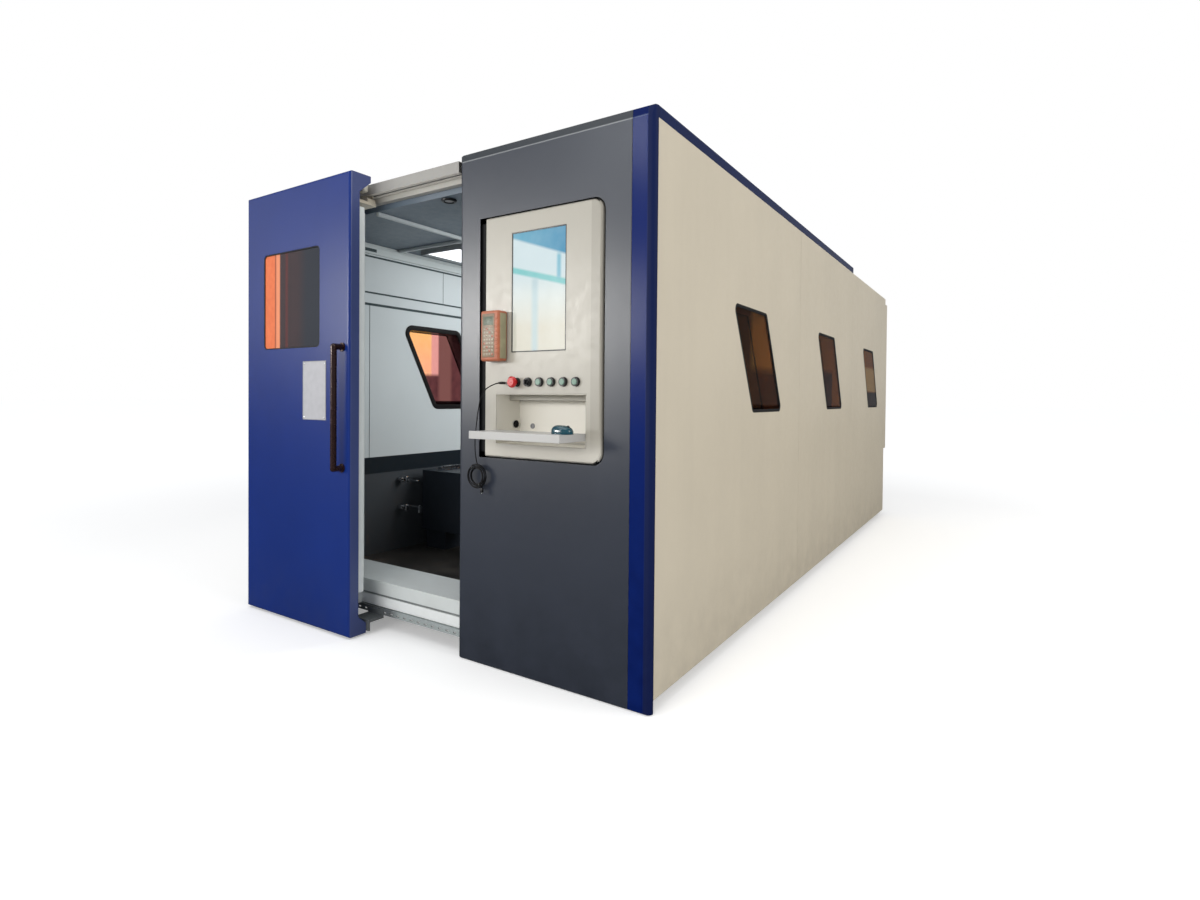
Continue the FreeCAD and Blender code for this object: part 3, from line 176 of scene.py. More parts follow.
def paint(name, base, rough=0.38, peel=0.0003, peel_scale=420.0, wave=0.0, mottle=0.05, rough_var=0.05, coat=0.0,
          dust_and_shade=0.0, dust_and_shade_top=0.45, dust_and_shade_color=(0.18, 0.16, 0.13), edge=0.0, edge_color=None, streak=0.0,
          metallic=0.0, spec=0.5, bevel=0.0018, zones=(), fold=None):
    """Powder coat or enamel: orange peel, panel waviness, mottling, streaks,
    darkening towards the floor (dust, and painted shade on the slate and
    column) and rubbed edges (on the slate also a painted edge highlight).
    zones = (axis, edge, above, colour) or the same with a second (axis, edge,
    above) that must hold too; several zones hold painted light and shade."""
    m, nt, b = base_material(name)
    L = nt.links.new
    big = noise(nt, 1.6, 3.0)
    col = mixc(nt, ramp(nt, big, 0.3, 0.7), tone(base, 1.0 - mottle), tone(base, 1.0 + mottle))
    x, y, z = xyz(nt)[:3]
    def side_of(axis, where, above):
        v = (x, y, z)[axis]
        lo, hi = where if isinstance(where, tuple) else (where - 0.0004, where + 0.0004)
        return ramp(nt, v, lo, hi) if above else ramp(nt, v, lo, hi, 1.0, 0.0)
    for axis, where, above, colour, *second in zones:
        f = side_of(axis, where, above)
        if second:
            f = mathn(nt, "MULTIPLY", f, side_of(*second[0]))
        tint = mixc(nt, ramp(nt, big, 0.3, 0.7), tone(colour, 1.0 - mottle), tone(colour, 1.0 + mottle))
        col = mixc(nt, f, col, tint)
    if streak:
        st = noise(nt, 1.0, 5.0, 0.62, (7.0, 7.0, 0.45))
        col = mixc(nt, ramp(nt, st, 0.45, 0.75, 0.0, streak), col, tone(base, 0.80))
    # darker towards the floor: dust, and on the slate and column painted shade
    if dust_and_shade:
        d = mathn(nt, "MULTIPLY", ramp(nt, z, 0.0, dust_and_shade_top, 1.0, 0.0), ramp(nt, noise(nt, 9.0, 6.0, 0.6), 0.35, 0.75, 0.15, 1.0))
        col = mixc(nt, mathn(nt, "MULTIPLY", d, dust_and_shade), col, dust_and_shade_color)
    bev = bevel_normal(nt, bevel) if bevel else None
    # lighter edges: rubbed wear, and on the slate a painted edge highlight
    if edge and bev is not None:
        e = mathn(nt, "MULTIPLY", edge_mask(nt, bev), ramp(nt, noise(nt, 55.0, 3.0), 0.42, 0.62))
        col = mixc(nt, mathn(nt, "MULTIPLY", e, edge), col, edge_color or tone(base, 1.6))
    L(col, b.inputs["Base Color"])
    rn = noise(nt, 26.0, 4.0, 0.6)
    sheen = ramp(nt, rn, 0.3, 0.7, rough - rough_var, rough + rough_var)
    if fold:                                           # the rolled corner is duller than the flat
        sheen = mathn(nt, "ADD", sheen, ramp(nt, x, fold, fold + 0.007, 0.0, 0.42))
    L(sheen, b.inputs["Roughness"])
    nrm = bev
    if wave:
        nrm = bump(nt, noise(nt, 1.9, 1.0), wave, 1.0, nrm)
    if peel:
        nrm = bump(nt, noise(nt, peel_scale, 2.0), peel, 0.35, nrm)
    if nrm is not None:
        L(nrm, b.inputs["Normal"])
    b.inputs["Metallic"].default_value = metallic
    b.inputs["Specular IOR Level"].default_value = spec
    if coat:
        b.inputs["Coat Weight"].default_value = coat
        b.inputs["Coat Roughness"].default_value = 0.08
    return m


def steel(name, base, rough=0.32, grain=(4.0, 400.0, 400.0), depth=0.00012, tint=None, rust=0.0, bevel=0.001):
    """Ground or plated steel with a fine grain along one axis."""
    m, nt, b = base_material(name)
    L = nt.links.new
    g = noise(nt, 1.0, 4.0, 0.6, grain)
    big = noise(nt, 7.0, 4.0, 0.55)
    col = mixc(nt, ramp(nt, g, 0.35, 0.65), tone(base, 0.86), tone(base, 1.08))
    if tint is not None:
        col = mixc(nt, ramp(nt, big, 0.42, 0.68), col, tint)
    if rust:
        col = mixc(nt, ramp(nt, noise(nt, 90.0, 6.0, 0.7), 0.62, 0.75, 0.0, rust), col, (0.16, 0.06, 0.025))
    L(col, b.inputs["Base Color"])
    L(ramp(nt, big, 0.3, 0.7, rough - 0.07, rough + 0.1), b.inputs["Roughness"])
    b.inputs["Metallic"].default_value = 1.0
    L(bump(nt, g, depth, 0.6, bevel_normal(nt, bevel)), b.inputs["Normal"])
    return m


def plastic(name, base, rough=0.4, grain=0.00008, scale=900.0, spec=0.5, coat=0.0, mottle=0.06, bevel=0.0006, subsurface=0.0):
    m, nt, b = base_material(name)
    L = nt.links.new
    col = mixc(nt, ramp(nt, noise(nt, 30.0, 4.0), 0.3, 0.7), tone(base, 1.0 - mottle), tone(base, 1.0 + mottle))
    L(col, b.inputs["Base Color"])
    L(ramp(nt, noise(nt, 120.0, 3.0), 0.3, 0.7, rough - 0.05, rough + 0.06), b.inputs["Roughness"])
    L(bump(nt, noise(nt, scale, 2.0), grain, 0.5, bevel_normal(nt, bevel)), b.inputs["Normal"])
    b.inputs["Specular IOR Level"].default_value = spec
    if coat:
        b.inputs["Coat Weight"].default_value = coat
    return m


CREAM = (0.585, 0.525, 0.415)
WHITE = (0.70, 0.735, 0.73)
COLUMN = (0.0022, 0.0132, 0.113)
SLATE = (0.029, 0.035, 0.051)
BLACK = (0.022, 0.029, 0.040)
# height of the fold line across the pod and column fronts, where a painted highlight line sits
BAND = 2.2645

M = {}
M["cream"] = paint("cream_powder_coat", CREAM, 0.36, 0.00035, 380, wave=0.006, mottle=0.025, streak=0.16, dust_and_shade=0.28, dust_and_shade_top=0.5,
                   edge=0.35, edge_color=(0.70, 0.64, 0.53), bevel=0.0022)
# fascia and track: one paint set at two tones for how light falls on them; the lighter zone under the track is painted
# light cancelling its shadow
M["fascia"] = paint("fascia_powder_coat", (0.42, 0.405, 0.368), 0.38, 0.00035, 380, wave=0.002, mottle=0.05, streak=0.12, edge=0.3,
                    edge_color=(0.55, 0.53, 0.48))
M["track"] = paint("track_powder_coat", (0.315, 0.305, 0.285), 0.38, 0.00035, 380, wave=0.002, mottle=0.05, streak=0.10, edge=0.3,
                   edge_color=(0.45, 0.44, 0.41), zones=((2, 2.2288, False, (0.66, 0.63, 0.57)),))
# roof: the dark blue-grey on its underside and on its front face is painted shade
M["roof"] = paint("cream_roof_coat", CREAM, 0.4, 0.00035, 380, wave=0.006, mottle=0.03, streak=0.0, edge=0.3,
                  zones=((2, 2.1714, False, (0.115, 0.150, 0.190)), (1, -2.4415, False, (0.115, 0.150, 0.190))))
# console: the darker strip on its right part is painted shade on the fold; the lighter strip at its bottom is painted
# light cancelling the tray's shadow
M["console"] = paint("console_powder_coat", (0.395, 0.372, 0.318), 0.34, 0.0003, 420, wave=0.001, mottle=0.02, edge=0.35,
                     edge_color=(0.56, 0.53, 0.47), bevel=0.0025, zones=((0, 1.252 - 0.276, True, (0.330, 0.309, 0.262)),
                                                                            (2, (0.975, 1.045), False, (0.52, 0.495, 0.435))))
M["white"] = paint("white_powder_coat", WHITE, 0.35, 0.0003, 420, wave=0.001, mottle=0.03, dust_and_shade=0.35, dust_and_shade_top=0.34, edge=0.3,
                   edge_color=(0.85, 0.86, 0.85), bevel=0.0022)
# sill: painted shade on the upper front, painted light on the lower band and a painted shadow line at the groove
M["sill"] = paint("sill_powder_coat", WHITE, 0.35, 0.0003, 420, wave=0.001, mottle=0.03, dust_and_shade=0.3, dust_and_shade_top=0.34, edge=0.3,
                  edge_color=(0.85, 0.86, 0.85), bevel=0.0022,
                  zones=((2, 0.1745, True, (0.605, 0.640, 0.630), (1, -2.4845, False)), (2, 0.1625, False, (0.785, 0.810, 0.805)),
                         (2, 0.1630, True, (0.215, 0.235, 0.235), (2, 0.1740, False))))
M["liner"] = paint("liner_powder_coat", (0.545, 0.585, 0.595), 0.42, 0.0003, 420, wave=0.002, mottle=0.03, bevel=0.001,
                   zones=((2, 0.806, False, (0.012, 0.017, 0.022)), (2, 0.700, False, (0.055, 0.061, 0.068))))
M["blue"] = paint("blue_enamel", (0.0034, 0.0105, 0.062), 0.26, 0.0, 260, wave=0.0012, mottle=0.08, rough_var=0.008, spec=0.16, edge=0.5, edge_color=(0.03, 0.07, 0.28),
                  dust_and_shade=0.18, dust_and_shade_top=0.35, dust_and_shade_color=(0.05, 0.06, 0.10))
# column: painted shade darkens its lower part and its rounded corner strip; at BAND a painted highlight line crosses
# the front, with a darker painted shade band above it
M["column"] = paint("column_enamel", COLUMN, 0.215, 0.0, 260, wave=0.0012, mottle=0.08, rough_var=0.008, spec=0.16, fold=1.216, edge=0.5, edge_color=(0.03, 0.06, 0.22),
                    dust_and_shade=0.85, dust_and_shade_top=1.1, dust_and_shade_color=(0.0002, 0.0040, 0.050),
                    zones=((2, BAND, True, (0.050, 0.070, 0.165), (1, -2.5320, False)), (2, BAND + 0.0052, True, (0.0016, 0.009, 0.080)),
                           (0, 1.2185, True, (0.0026, 0.0098, 0.062))))
# door: the paler zone on its right-hand flank is a painted reflection
M["door"] = paint("door_blue_enamel", (0.0048, 0.024, 0.172), 0.30, 0.0, 260, wave=0.003, mottle=0.08, rough_var=0.008, spec=0.35, bevel=0.0026, edge=0.5,
                  edge_color=(0.04, 0.09, 0.32), dust_and_shade=0.2, dust_and_shade_top=0.4, dust_and_shade_color=(0.05, 0.06, 0.10),
                  zones=((0, 1.252 - 1.5925, True, (0.052, 0.070, 0.185)),))
# pod shell: painted shade darkens its lower part; at BAND a painted highlight line crosses the front with a greener
# painted shade band above it; its lighter edges are a painted edge highlight
M["slate"] = paint("slate_powder_coat", SLATE, 0.33, 0.00004, 300, wave=0.004, mottle=0.05, rough_var=0.015, spec=0.62, edge=0.6, edge_color=(0.16, 0.165, 0.18),
                   dust_and_shade=0.6, dust_and_shade_top=0.55, dust_and_shade_color=(0.010, 0.013, 0.020), bevel=0.0025,
                   zones=((2, BAND, True, (0.185, 0.195, 0.205), (1, -2.5320, False)), (2, BAND + 0.0055, True, (0.030, 0.036, 0.044))))
M["fixed_panel"] = paint("fixed_panel_coat", SLATE, 0.34, 0.0004, 300, wave=0.002, mottle=0.06, bevel=0.002,
                         zones=((0, 1.252 - 1.790, True, WHITE),))
M["black"] = paint("black_machine_enamel", BLACK, 0.42, 0.0004, 200, mottle=0.15, dust_and_shade=0.25, dust_and_shade_top=0.9, dust_and_shade_color=(0.05, 0.048, 0.045),
                   edge=0.6, edge_color=(0.12, 0.12, 0.125))
M["grey"] = paint("frame_grey_coat", (0.12, 0.125, 0.13), 0.42, 0.0004, 300, mottle=0.06, edge=0.5, edge_color=(0.3, 0.3, 0.3),
                  dust_and_shade=0.4, dust_and_shade_top=0.25)
M["gantry"] = paint("gantry_coat", (0.045, 0.055, 0.075), 0.36, 0.0004, 300, mottle=0.07, edge=0.6, edge_color=(0.2, 0.2, 0.22))
M["joint"] = plastic("sheet_joint", (0.045, 0.062, 0.066), 0.6, 0.0002, 300)
M["rim"] = paint("lamp_rim_coat", (0.26, 0.28, 0.29), 0.45, 0.0, 300, mottle=0.05)
M["rail_paint"] = paint("rail_powder_coat", (0.52, 0.56, 0.56), 0.4, 0.0003, 420, wave=0.001, mottle=0.05)
M["gap"] = plastic("gap_black", (0.004, 0.004, 0.005), 0.8, 0.0002, 300)
M["rubber"] = plastic("gasket_rubber", (0.012, 0.011, 0.011), 0.55, 0.00015, 500, spec=0.35)
M["cable"] = plastic("cable_sheath", (0.006, 0.006, 0.007), 0.5, 0.0001, 1400, spec=0.25)
M["black_plastic"] = plastic("black_plastic", (0.012, 0.012, 0.013), 0.36)
M["bracket"] = paint("dark_bracket", (0.03, 0.03, 0.032), 0.45, 0.0003, 300, mottle=0.1, edge=0.7, edge_color=(0.25, 0.25, 0.25))
M["green"] = plastic("green_cap", (0.14, 0.25, 0.19), 0.22, coat=0.5)
M["red"] = plastic("red_mushroom", (0.50, 0.012, 0.014), 0.26, coat=0.4)
M["teal"] = plastic("teal_gloss", (0.006, 0.060, 0.085), 0.20, coat=0.7)
M["orange"] = plastic("pendant_bumper", (0.43, 0.130, 0.062), 0.46, 0.0002, 500, mottle=0.14)
M["olive"] = plastic("pendant_side", (0.335, 0.305, 0.185), 0.5, 0.0002, 500, mottle=0.12)
M["panel_face"] = plastic("pendant_face", (0.235, 0.160, 0.100), 0.4, 0.0002, 500, mottle=0.15)
M["key_light"] = plastic("key_light", (0.29, 0.245, 0.165), 0.35)
M["key_rust"] = plastic("key_rust", (0.34, 0.095, 0.04), 0.35)
M["lcd"] = plastic("lcd_grey", (0.17, 0.20, 0.15), 0.3, spec=0.2)
M["bronze"] = paint("bronze_handle_coat", (0.040, 0.019, 0.018), 0.27, 0.0002, 500, mottle=0.25, edge=0.4, edge_color=(0.30, 0.12, 0.08),
                    metallic=0.55, coat=0.3, bevel=0.001)
M["card"] = plastic("blank_plate", (0.42, 0.42, 0.445), 0.45, mottle=0.05)
M["tray_white"] = paint("tray_powder_coat", (0.47, 0.465, 0.45), 0.34, 0.0003, 420, wave=0.001, mottle=0.03, edge=0.4,
                        edge_color=(0.66, 0.66, 0.65), bevel=0.0022)
M["card_edge"] = plastic("plate_edge", (0.30, 0.30, 0.31), 0.5)
M["nylon"] = plastic("roller_nylon", (0.62, 0.60, 0.52), 0.4)
# bottom guide: the dark zone by the doorway is a painted shadow
M["guide_grey"] = paint("guide_grey_coat", (0.31, 0.345, 0.345), 0.42, 0.0003, 300, mottle=0.08, edge=0.4, edge_color=(0.5, 0.5, 0.5), dust_and_shade=0.25, dust_and_shade_top=0.12,
                        zones=((0, (-0.27, -0.20), False, (0.105, 0.115, 0.122), (0, (-0.62, -0.52), True)),))
M["zinc"] = steel("zinc_plate", (0.20, 0.21, 0.21), 0.46, (60.0, 60.0, 60.0))
M["rail"] = steel("ground_rail", (0.62, 0.63, 0.65), 0.24, (500.0, 6.0, 500.0))
M["slat"] = steel("cut_slats", (0.36, 0.33, 0.30), 0.45, (8.0, 300.0, 300.0), tint=(0.15, 0.09, 0.075), rust=0.6)
M["head"] = paint("head_anodised", (0.03, 0.031, 0.034), 0.34, 0.0001, 800, mottle=0.05, metallic=0.6, edge=0.5, edge_color=(0.3, 0.3, 0.3))
M["brass"] = steel("nozzle_copper", (0.70, 0.36, 0.19), 0.25, (300.0, 300.0, 20.0))
M["silver"] = steel("bright_plated", (0.78, 0.79, 0.80), 0.22, (200.0, 200.0, 200.0))


def deck(name):
    m, nt, b = base_material(name)
    L = nt.links.new
    n1 = noise(nt, 5.0, 6.0, 0.65)
    n2 = noise(nt, 260.0, 2.0)
    col = mixc(nt, ramp(nt, n1, 0.35, 0.7), (0.020, 0.019, 0.018), (0.075, 0.066, 0.057))
    L(col, b.inputs["Base Color"])
    L(ramp(nt, n1, 0.3, 0.7, 0.38, 0.66), b.inputs["Roughness"])
    L(bump(nt, n2, 0.0009, 0.6), b.inputs["Normal"])
    return m


M["deck"] = deck("worn_deck")


def right_panes_material():
    """Laser-safe acrylic whose colour holds a painted view and reflections: a
    bright amber field in the front pane, darker towards the ends of each pane,
    a pale patch and a dark low strip in the last pane."""
    m, nt, b = base_material("amber_acrylic")
    L = nt.links.new
    x, y, z = xyz(nt)[:3]
    def both(*f):
        out = f[0]
        for g in f[1:]:
            out = mathn(nt, "MULTIPLY", out, g)
        return out
    mott = ramp(nt, noise(nt, 60.0, 3.0), 0.3, 0.7)
    clear = (0.50, 0.175, 0.038)
    col = mixc(nt, mott, tone(clear, 0.93), clear)
    first = ramp(nt, y, -0.90, -0.80, 1.0, 0.0)
    last = ramp(nt, y, 1.00, 1.10)
    col = mixc(nt, first, col, (0.34, 0.140, 0.060))
    field = both(first, ramp(nt, y, -1.49, -1.43), ramp(nt, z, 1.335, 1.385), ramp(nt, z, 1.70, 1.64, 0.0, 1.0))
    col = mixc(nt, field, col, (1.0, 0.49, 0.150))
    corner = both(ramp(nt, y, -0.80, -0.70), ramp(nt, y, 0.31, 0.29, 0.0, 1.0), ramp(nt, z, 1.43, 1.38, 0.0, 1.0))
    col = mixc(nt, corner, col, (0.14, 0.060, 0.050))
    pale = both(last, ramp(nt, z, 1.270, 1.290), ramp(nt, z, 1.510, 1.490, 0.0, 1.0))
    low = both(last, ramp(nt, z, 1.285, 1.265, 0.0, 1.0))
    col = mixc(nt, pale, col, (0.52, 0.34, 0.155))
    col = mixc(nt, low, col, (0.06, 0.022, 0.018))
    L(col, b.inputs["Base Color"])
    L(mathn(nt, "SUBTRACT", 1.0, mathn(nt, "MULTIPLY", pale, 0.19)), b.inputs["Transmission Weight"])
    b.inputs["Roughness"].default_value = 0.025
    b.inputs["IOR"].default_value = 1.07
    b.inputs["Specular IOR Level"].default_value = 0.30
    L(bump(nt, noise(nt, 9.0, 1.0), 0.0006, 0.3), b.inputs["Normal"])
    return m


M["amber_right"] = right_panes_material()


def door_pane_material():
    """Laser-safe acrylic whose colour holds a painted view: a bright orange band
    along its left edge, a dark painted view over the rest, with a fine dark line
    where the two meet."""
    m, nt, b = base_material("amber_acrylic_door")
    L = nt.links.new
    x, y, z = xyz(nt)[:3]
    mott = ramp(nt, noise(nt, 34.0, 3.0), 0.3, 0.7)
    u = ramp(nt, x, -1.086, -0.579)                    # 0 at the left edge
    def edge_at(where, soft):
        return ramp(nt, u, where - soft, where + soft)
    orange = mixc(nt, mott, (0.72, 0.155, 0.050), (0.80, 0.185, 0.062))
    pale = mixc(nt, edge_at(0.205, 0.006), orange, (0.80, 0.27, 0.13))
    line = mathn(nt, "MULTIPLY", edge_at(0.190, 0.006), edge_at(0.215, -0.006))
    pale = mixc(nt, mathn(nt, "MULTIPLY", line, 0.75), pale, (0.20, 0.045, 0.02))
    brown = mixc(nt, mott, (0.056, 0.029, 0.032), (0.044, 0.024, 0.028))
    smoke = mixc(nt, edge_at(0.68, 0.07), brown, (0.021, 0.026, 0.040))
    col = mixc(nt, edge_at(0.285, 0.008), pale, smoke)
    line2 = mathn(nt, "MULTIPLY", edge_at(0.385, 0.008), edge_at(0.430, -0.008))
    col = mixc(nt, mathn(nt, "MULTIPLY", line2, 0.6), col, (0.17, 0.022, 0.018))
    L(col, b.inputs["Base Color"])
    L(mathn(nt, "MULTIPLY", edge_at(0.285, 0.008), 0.30), b.inputs["Transmission Weight"])
    b.inputs["Roughness"].default_value = 0.12
    b.inputs["IOR"].default_value = 1.40
    b.inputs["Specular IOR Level"].default_value = 0.5
    L(bump(nt, noise(nt, 9.0, 1.0), 0.0006, 0.3), b.inputs["Normal"])
    return m


M["amber_door"] = door_pane_material()


def screen_material():
    """A glossy display, glowing faintly, whose pale soft bands are painted reflections."""
    m, nt, b = base_material("screen_glass")
    L = nt.links.new
    x, y, z = xyz(nt)[:3]
    u = ramp(nt, x, 0.567, 0.855)                     # 0 at the left edge
    v = ramp(nt, z, 1.905, 1.393)                     # 0 at the top edge
    def edge_at(value, where, soft):
        return ramp(nt, value, where - soft, where + soft)
    slope = mathn(nt, "SUBTRACT", v, mathn(nt, "MULTIPLY", u, 0.19))
    slope2 = mathn(nt, "SUBTRACT", v, mathn(nt, "MULTIPLY", u, 0.145))
    white = mixc(nt, ramp(nt, v, 0.35, 0.8), (0.47, 0.55, 0.57), (0.475, 0.46, 0.39))
    blue_ = mixc(nt, ramp(nt, u, 0.0, 1.0), (0.125, 0.31, 0.41), (0.075, 0.225, 0.35))
    col = mixc(nt, edge_at(slope, 0.045, 0.012), blue_, white)
    band = mathn(nt, "MULTIPLY", edge_at(slope2, 0.285, 0.010), edge_at(slope2, 0.335, -0.010))
    col = mixc(nt, band, col, (0.17, 0.42, 0.42))
    bar = mathn(nt, "MULTIPLY", mathn(nt, "MULTIPLY", edge_at(u, 0.38, 0.03), edge_at(u, 0.49, -0.03)), edge_at(v, 0.40, 0.02))
    col = mixc(nt, mathn(nt, "MULTIPLY", bar, 0.75), col, (0.33, 0.44, 0.47))
    bar2 = mathn(nt, "MULTIPLY", mathn(nt, "MULTIPLY", edge_at(u, 0.83, 0.02), edge_at(u, 0.90, -0.02)),
                 mathn(nt, "MULTIPLY", edge_at(v, 0.22, 0.02), edge_at(v, 0.42, -0.02)))
    col = mixc(nt, mathn(nt, "MULTIPLY", bar2, 0.85), col, (0.15, 0.36, 0.45))
    col = mixc(nt, ramp(nt, noise(nt, 14.0, 3.0), 0.3, 0.7, 0.0, 0.10), col, (0.6, 0.66, 0.68))
    L(col, b.inputs["Base Color"])
    L(col, b.inputs["Emission Color"])
    b.inputs["Emission Strength"].default_value = 0.25
    b.inputs["Roughness"].default_value = 0.10
    b.inputs["Specular IOR Level"].default_value = 0.06
    return m


M["screen"] = screen_material()
# niche: a much lighter copy of the console paint, painted light cancelling the recess's shade
M["niche"] = paint("niche_powder_coat", (0.84, 0.81, 0.73), 0.40, 0.0003, 420, wave=0.001, mottle=0.02, edge=0.2, edge_color=(0.9, 0.87, 0.79))


def lamp_material():
    m, nt, b = base_material("lamp_diffuser")
    L = nt.links.new
    f = ramp(nt, noise(nt, 220.0, 2.0), 0.3, 0.7)
    col = mixc(nt, f, (0.90, 0.95, 1.0), (1.0, 1.0, 1.0))
    L(col, b.inputs["Base Color"])
    L(col, b.inputs["Emission Color"])
    b.inputs["Emission Strength"].default_value = 1.1
    b.inputs["Roughness"].default_value = 0.5
    L(bump(nt, noise(nt, 300.0, 1.0), 0.0004, 0.3), b.inputs["Normal"])
    return m


M["lamp"] = lamp_material()


def left_panes_material():
    """Laser-safe acrylic, the same on each pane, whose colour holds a painted
    view through it: bright orange at the forward top corner, deep wine red over
    the rest."""
    m, nt, b = base_material("amber_acrylic_left")
    L = nt.links.new
    x, y, z = xyz(nt)[:3]
    u = mathn(nt, "MODULO", mathn(nt, "ADD", y, 1.710 + 3.150), 1.575)
    mott = ramp(nt, noise(nt, 24.0, 3.0), 0.3, 0.7)
    col = mixc(nt, ramp(nt, z, 1.64, 1.42), (1.0, 0.50, 0.17), (1.0, 0.42, 0.23))
    col = mixc(nt, mathn(nt, "MULTIPLY", mott, 0.25), col, (1.0, 0.62, 0.34))
    col = mixc(nt, ramp(nt, u, 0.222, 0.238), col, (0.78, 0.33, 0.30))
    deep = mixc(nt, mott, (0.088, 0.029, 0.032), (0.145, 0.046, 0.048))
    deep = mixc(nt, ramp(nt, mathn(nt, "PINGPONG", u, 0.12), 0.045, 0.075), deep, (0.21, 0.084, 0.076))
    col = mixc(nt, ramp(nt, u, 0.290, 0.304), col, deep)
    col = mixc(nt, ramp(nt, z, 1.366, 1.342), col, deep)
    L(col, b.inputs["Base Color"])
    b.inputs["Transmission Weight"].default_value = 1.0
    b.inputs["Roughness"].default_value = 0.04
    b.inputs["IOR"].default_value = 1.12
    b.inputs["Specular IOR Level"].default_value = 0.35
    L(bump(nt, noise(nt, 9.0, 1.0), 0.0006, 0.3), b.inputs["Normal"])
    return m


FINISH = {
    "base_beams": "grey", "levelling_feet": "zinc", "floor_plate": "deck", "side_frames": "grey",
    "right_panel_front": "cream", "right_panel_middle": "cream", "right_panel_rear": "cream", "left_side_panels": "cream",
    "inner_liners": "liner", "window_panes": "amber_right", "roof_cassettes": "roof", "roof_trims": "blue", "corner_column": "column",
    "pod_shell": "slate", "console_panel": "console", "console_recess": "niche", "monitor": "screen", "switch_collars": "black_plastic",
    "push_button_1": "green", "push_button_2": "green", "push_button_3": "green", "push_button_4": "green",
    "key_switch": "black_plastic", "e_stop_button": "red", "keyboard_tray": "tray_white", "mouse": "teal", "remote_pendant": "orange",
    "usb_plug": "black_plastic", "usb_cord": "cable", "usb_cord_coil": "cable", "usb_cord_end": "black_plastic",
    "front_fixed_panel": "fixed_panel", "fascia_beam": "fascia", "top_track": "track", "sill": "sill", "bottom_guide": "guide_grey",
    "door_shell": "door", "door_inner_panel": "white", "door_pane": "amber_door", "door_handle": "bronze", "door_plate": "card",
    "door_hangers": "cream", "door_roller_right": "nylon", "door_roller_left": "nylon", "ceiling_lamps": "lamp",
    "laser_source": "grey", "control_cabinet": "grey", "rear_panel": "cream", "rear_hood": "cream", "pallet_gate": "grey",
    "bed_frame": "black", "gantry_rails": "rail", "table_frame": "black", "table_slats": "slat", "gantry_beam": "gantry",
    "x_carriage": "head", "z_slide": "rail", "cutting_head": "head",
}
for node, key in FINISH.items():
    ob = NODES[node]
    ob.data.materials.clear()
    ob.data.materials.append(M[key])

# The six panes share one CAD node; the left ones get their own material.
panes = NODES["window_panes"]
panes.data.materials.append(left_panes_material())
for poly in panes.data.polygons:
    if poly.center.x < 0:
        poly.material_index = 1


# ------------------------------------------------------------ mesh tools
def finish_mesh(bm, name, body, mats, smooth_angle=None):
    me = bpy.data.meshes.new(name)
    bmesh.ops.recalc_face_normals(bm, faces=bm.faces)
    bm.to_mesh(me)
    bm.free()
    for m in (mats if isinstance(mats, (list, tuple)) else [mats]):
        me.materials.append(m)
    ob = bpy.data.objects.new(name, me)
    scene.collection.objects.link(ob)
    if smooth_angle is not None:
        for p in me.polygons:
            p.use_smooth = True
        me.set_sharp_from_angle(angle=math.radians(smooth_angle))
    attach(ob, body)
    return ob


def add_box(bm, s0, s1, d0, d1, z0, z1, r=0.0, seg=3, mat=0):
    """A block in drawing millimetres with rounded edges."""
    lo, hi = W(max(s0, s1), min(d0, d1), min(z0, z1)), W(min(s0, s1), max(d0, d1), max(z0, z1))
    made = bmesh.ops.create_cube(bm, size=1.0)
    vs = made["verts"]
    c, e = (lo + hi) / 2.0, hi - lo
    for v in vs:
        v.co = Vector((c.x + v.co.x * e.x, c.y + v.co.y * e.y, c.z + v.co.z * e.z))
    faces = list({f for v in vs for f in v.link_faces})
    for f in faces:
        f.material_index = mat
    if r:
        edges = list({ed for v in vs for ed in v.link_edges})
        out = bmesh.ops.bevel(bm, geom=edges, offset=r / 1000.0, segments=seg, profile=0.5, affect="EDGES")
        for f in out["faces"]:
            f.material_index = mat
    return vs


def add_lathe(bm, centre, axis, profile, n=40, mat=0):
    """Turn (radius, along) pairs in millimetres about an axis from a point."""
    c = centre
    a = Vector(axis).normalized()
    t = Vector((0, 0, 1)) if abs(a.z) < 0.9 else Vector((1, 0, 0))
    u = a.cross(t).normalized()
    v = a.cross(u).normalized()
    rings = []
    for r, h in profile:
        if r < 1e-6:
            rings.append([bm.verts.new(c + a * (h / 1000.0))])
        else:
            rings.append([bm.verts.new(c + a * (h / 1000.0) + (u * math.cos(2 * math.pi * i / n) + v * math.sin(2 * math.pi * i / n)) * (r / 1000.0))
                          for i in range(n)])
    for A, B in zip(rings[:-1], rings[1:]):
        for i in range(n):
            j = (i + 1) % n
            if len(A) == 1 and len(B) == 1:
                continue
            if len(A) == 1:
                f = bm.faces.new((A[0], B[i], B[j]))
            elif len(B) == 1:
                f = bm.faces.new((A[i], A[j], B[0]))
            else:
                f = bm.faces.new((A[i], A[j], B[j], B[i]))
            f.material_index = mat
    return rings


def rounded_outline(points, radius, n=8):
    """Corner-rounded closed outline of a convex polygon given in 2-D."""
    out = []
    k = len(points)
    for i in range(k):
        p0, p1, p2 = (Vector(points[(i + j) % k]) for j in (-1, 0, 1))
        a, b = (p0 - p1).normalized(), (p2 - p1).normalized()
        half = math.acos(max(-1, min(1, a.dot(b)))) / 2.0
        cut = radius / math.tan(half)
        centre = p1 + (a + b).normalized() * (radius / math.sin(half))
        s, e = p1 + a * cut - centre, p1 + b * cut - centre
        ang0, ang1 = math.atan2(s.y, s.x), math.atan2(e.y, e.x)
        while ang1 - ang0 > math.pi:
            ang1 -= 2 * math.pi
        while ang1 - ang0 < -math.pi:
            ang1 += 2 * math.pi
        for j in range(n + 1):
            t = ang0 + (ang1 - ang0) * j / n
            out.append(centre + Vector((math.cos(t), math.sin(t))) * radius)
    return out


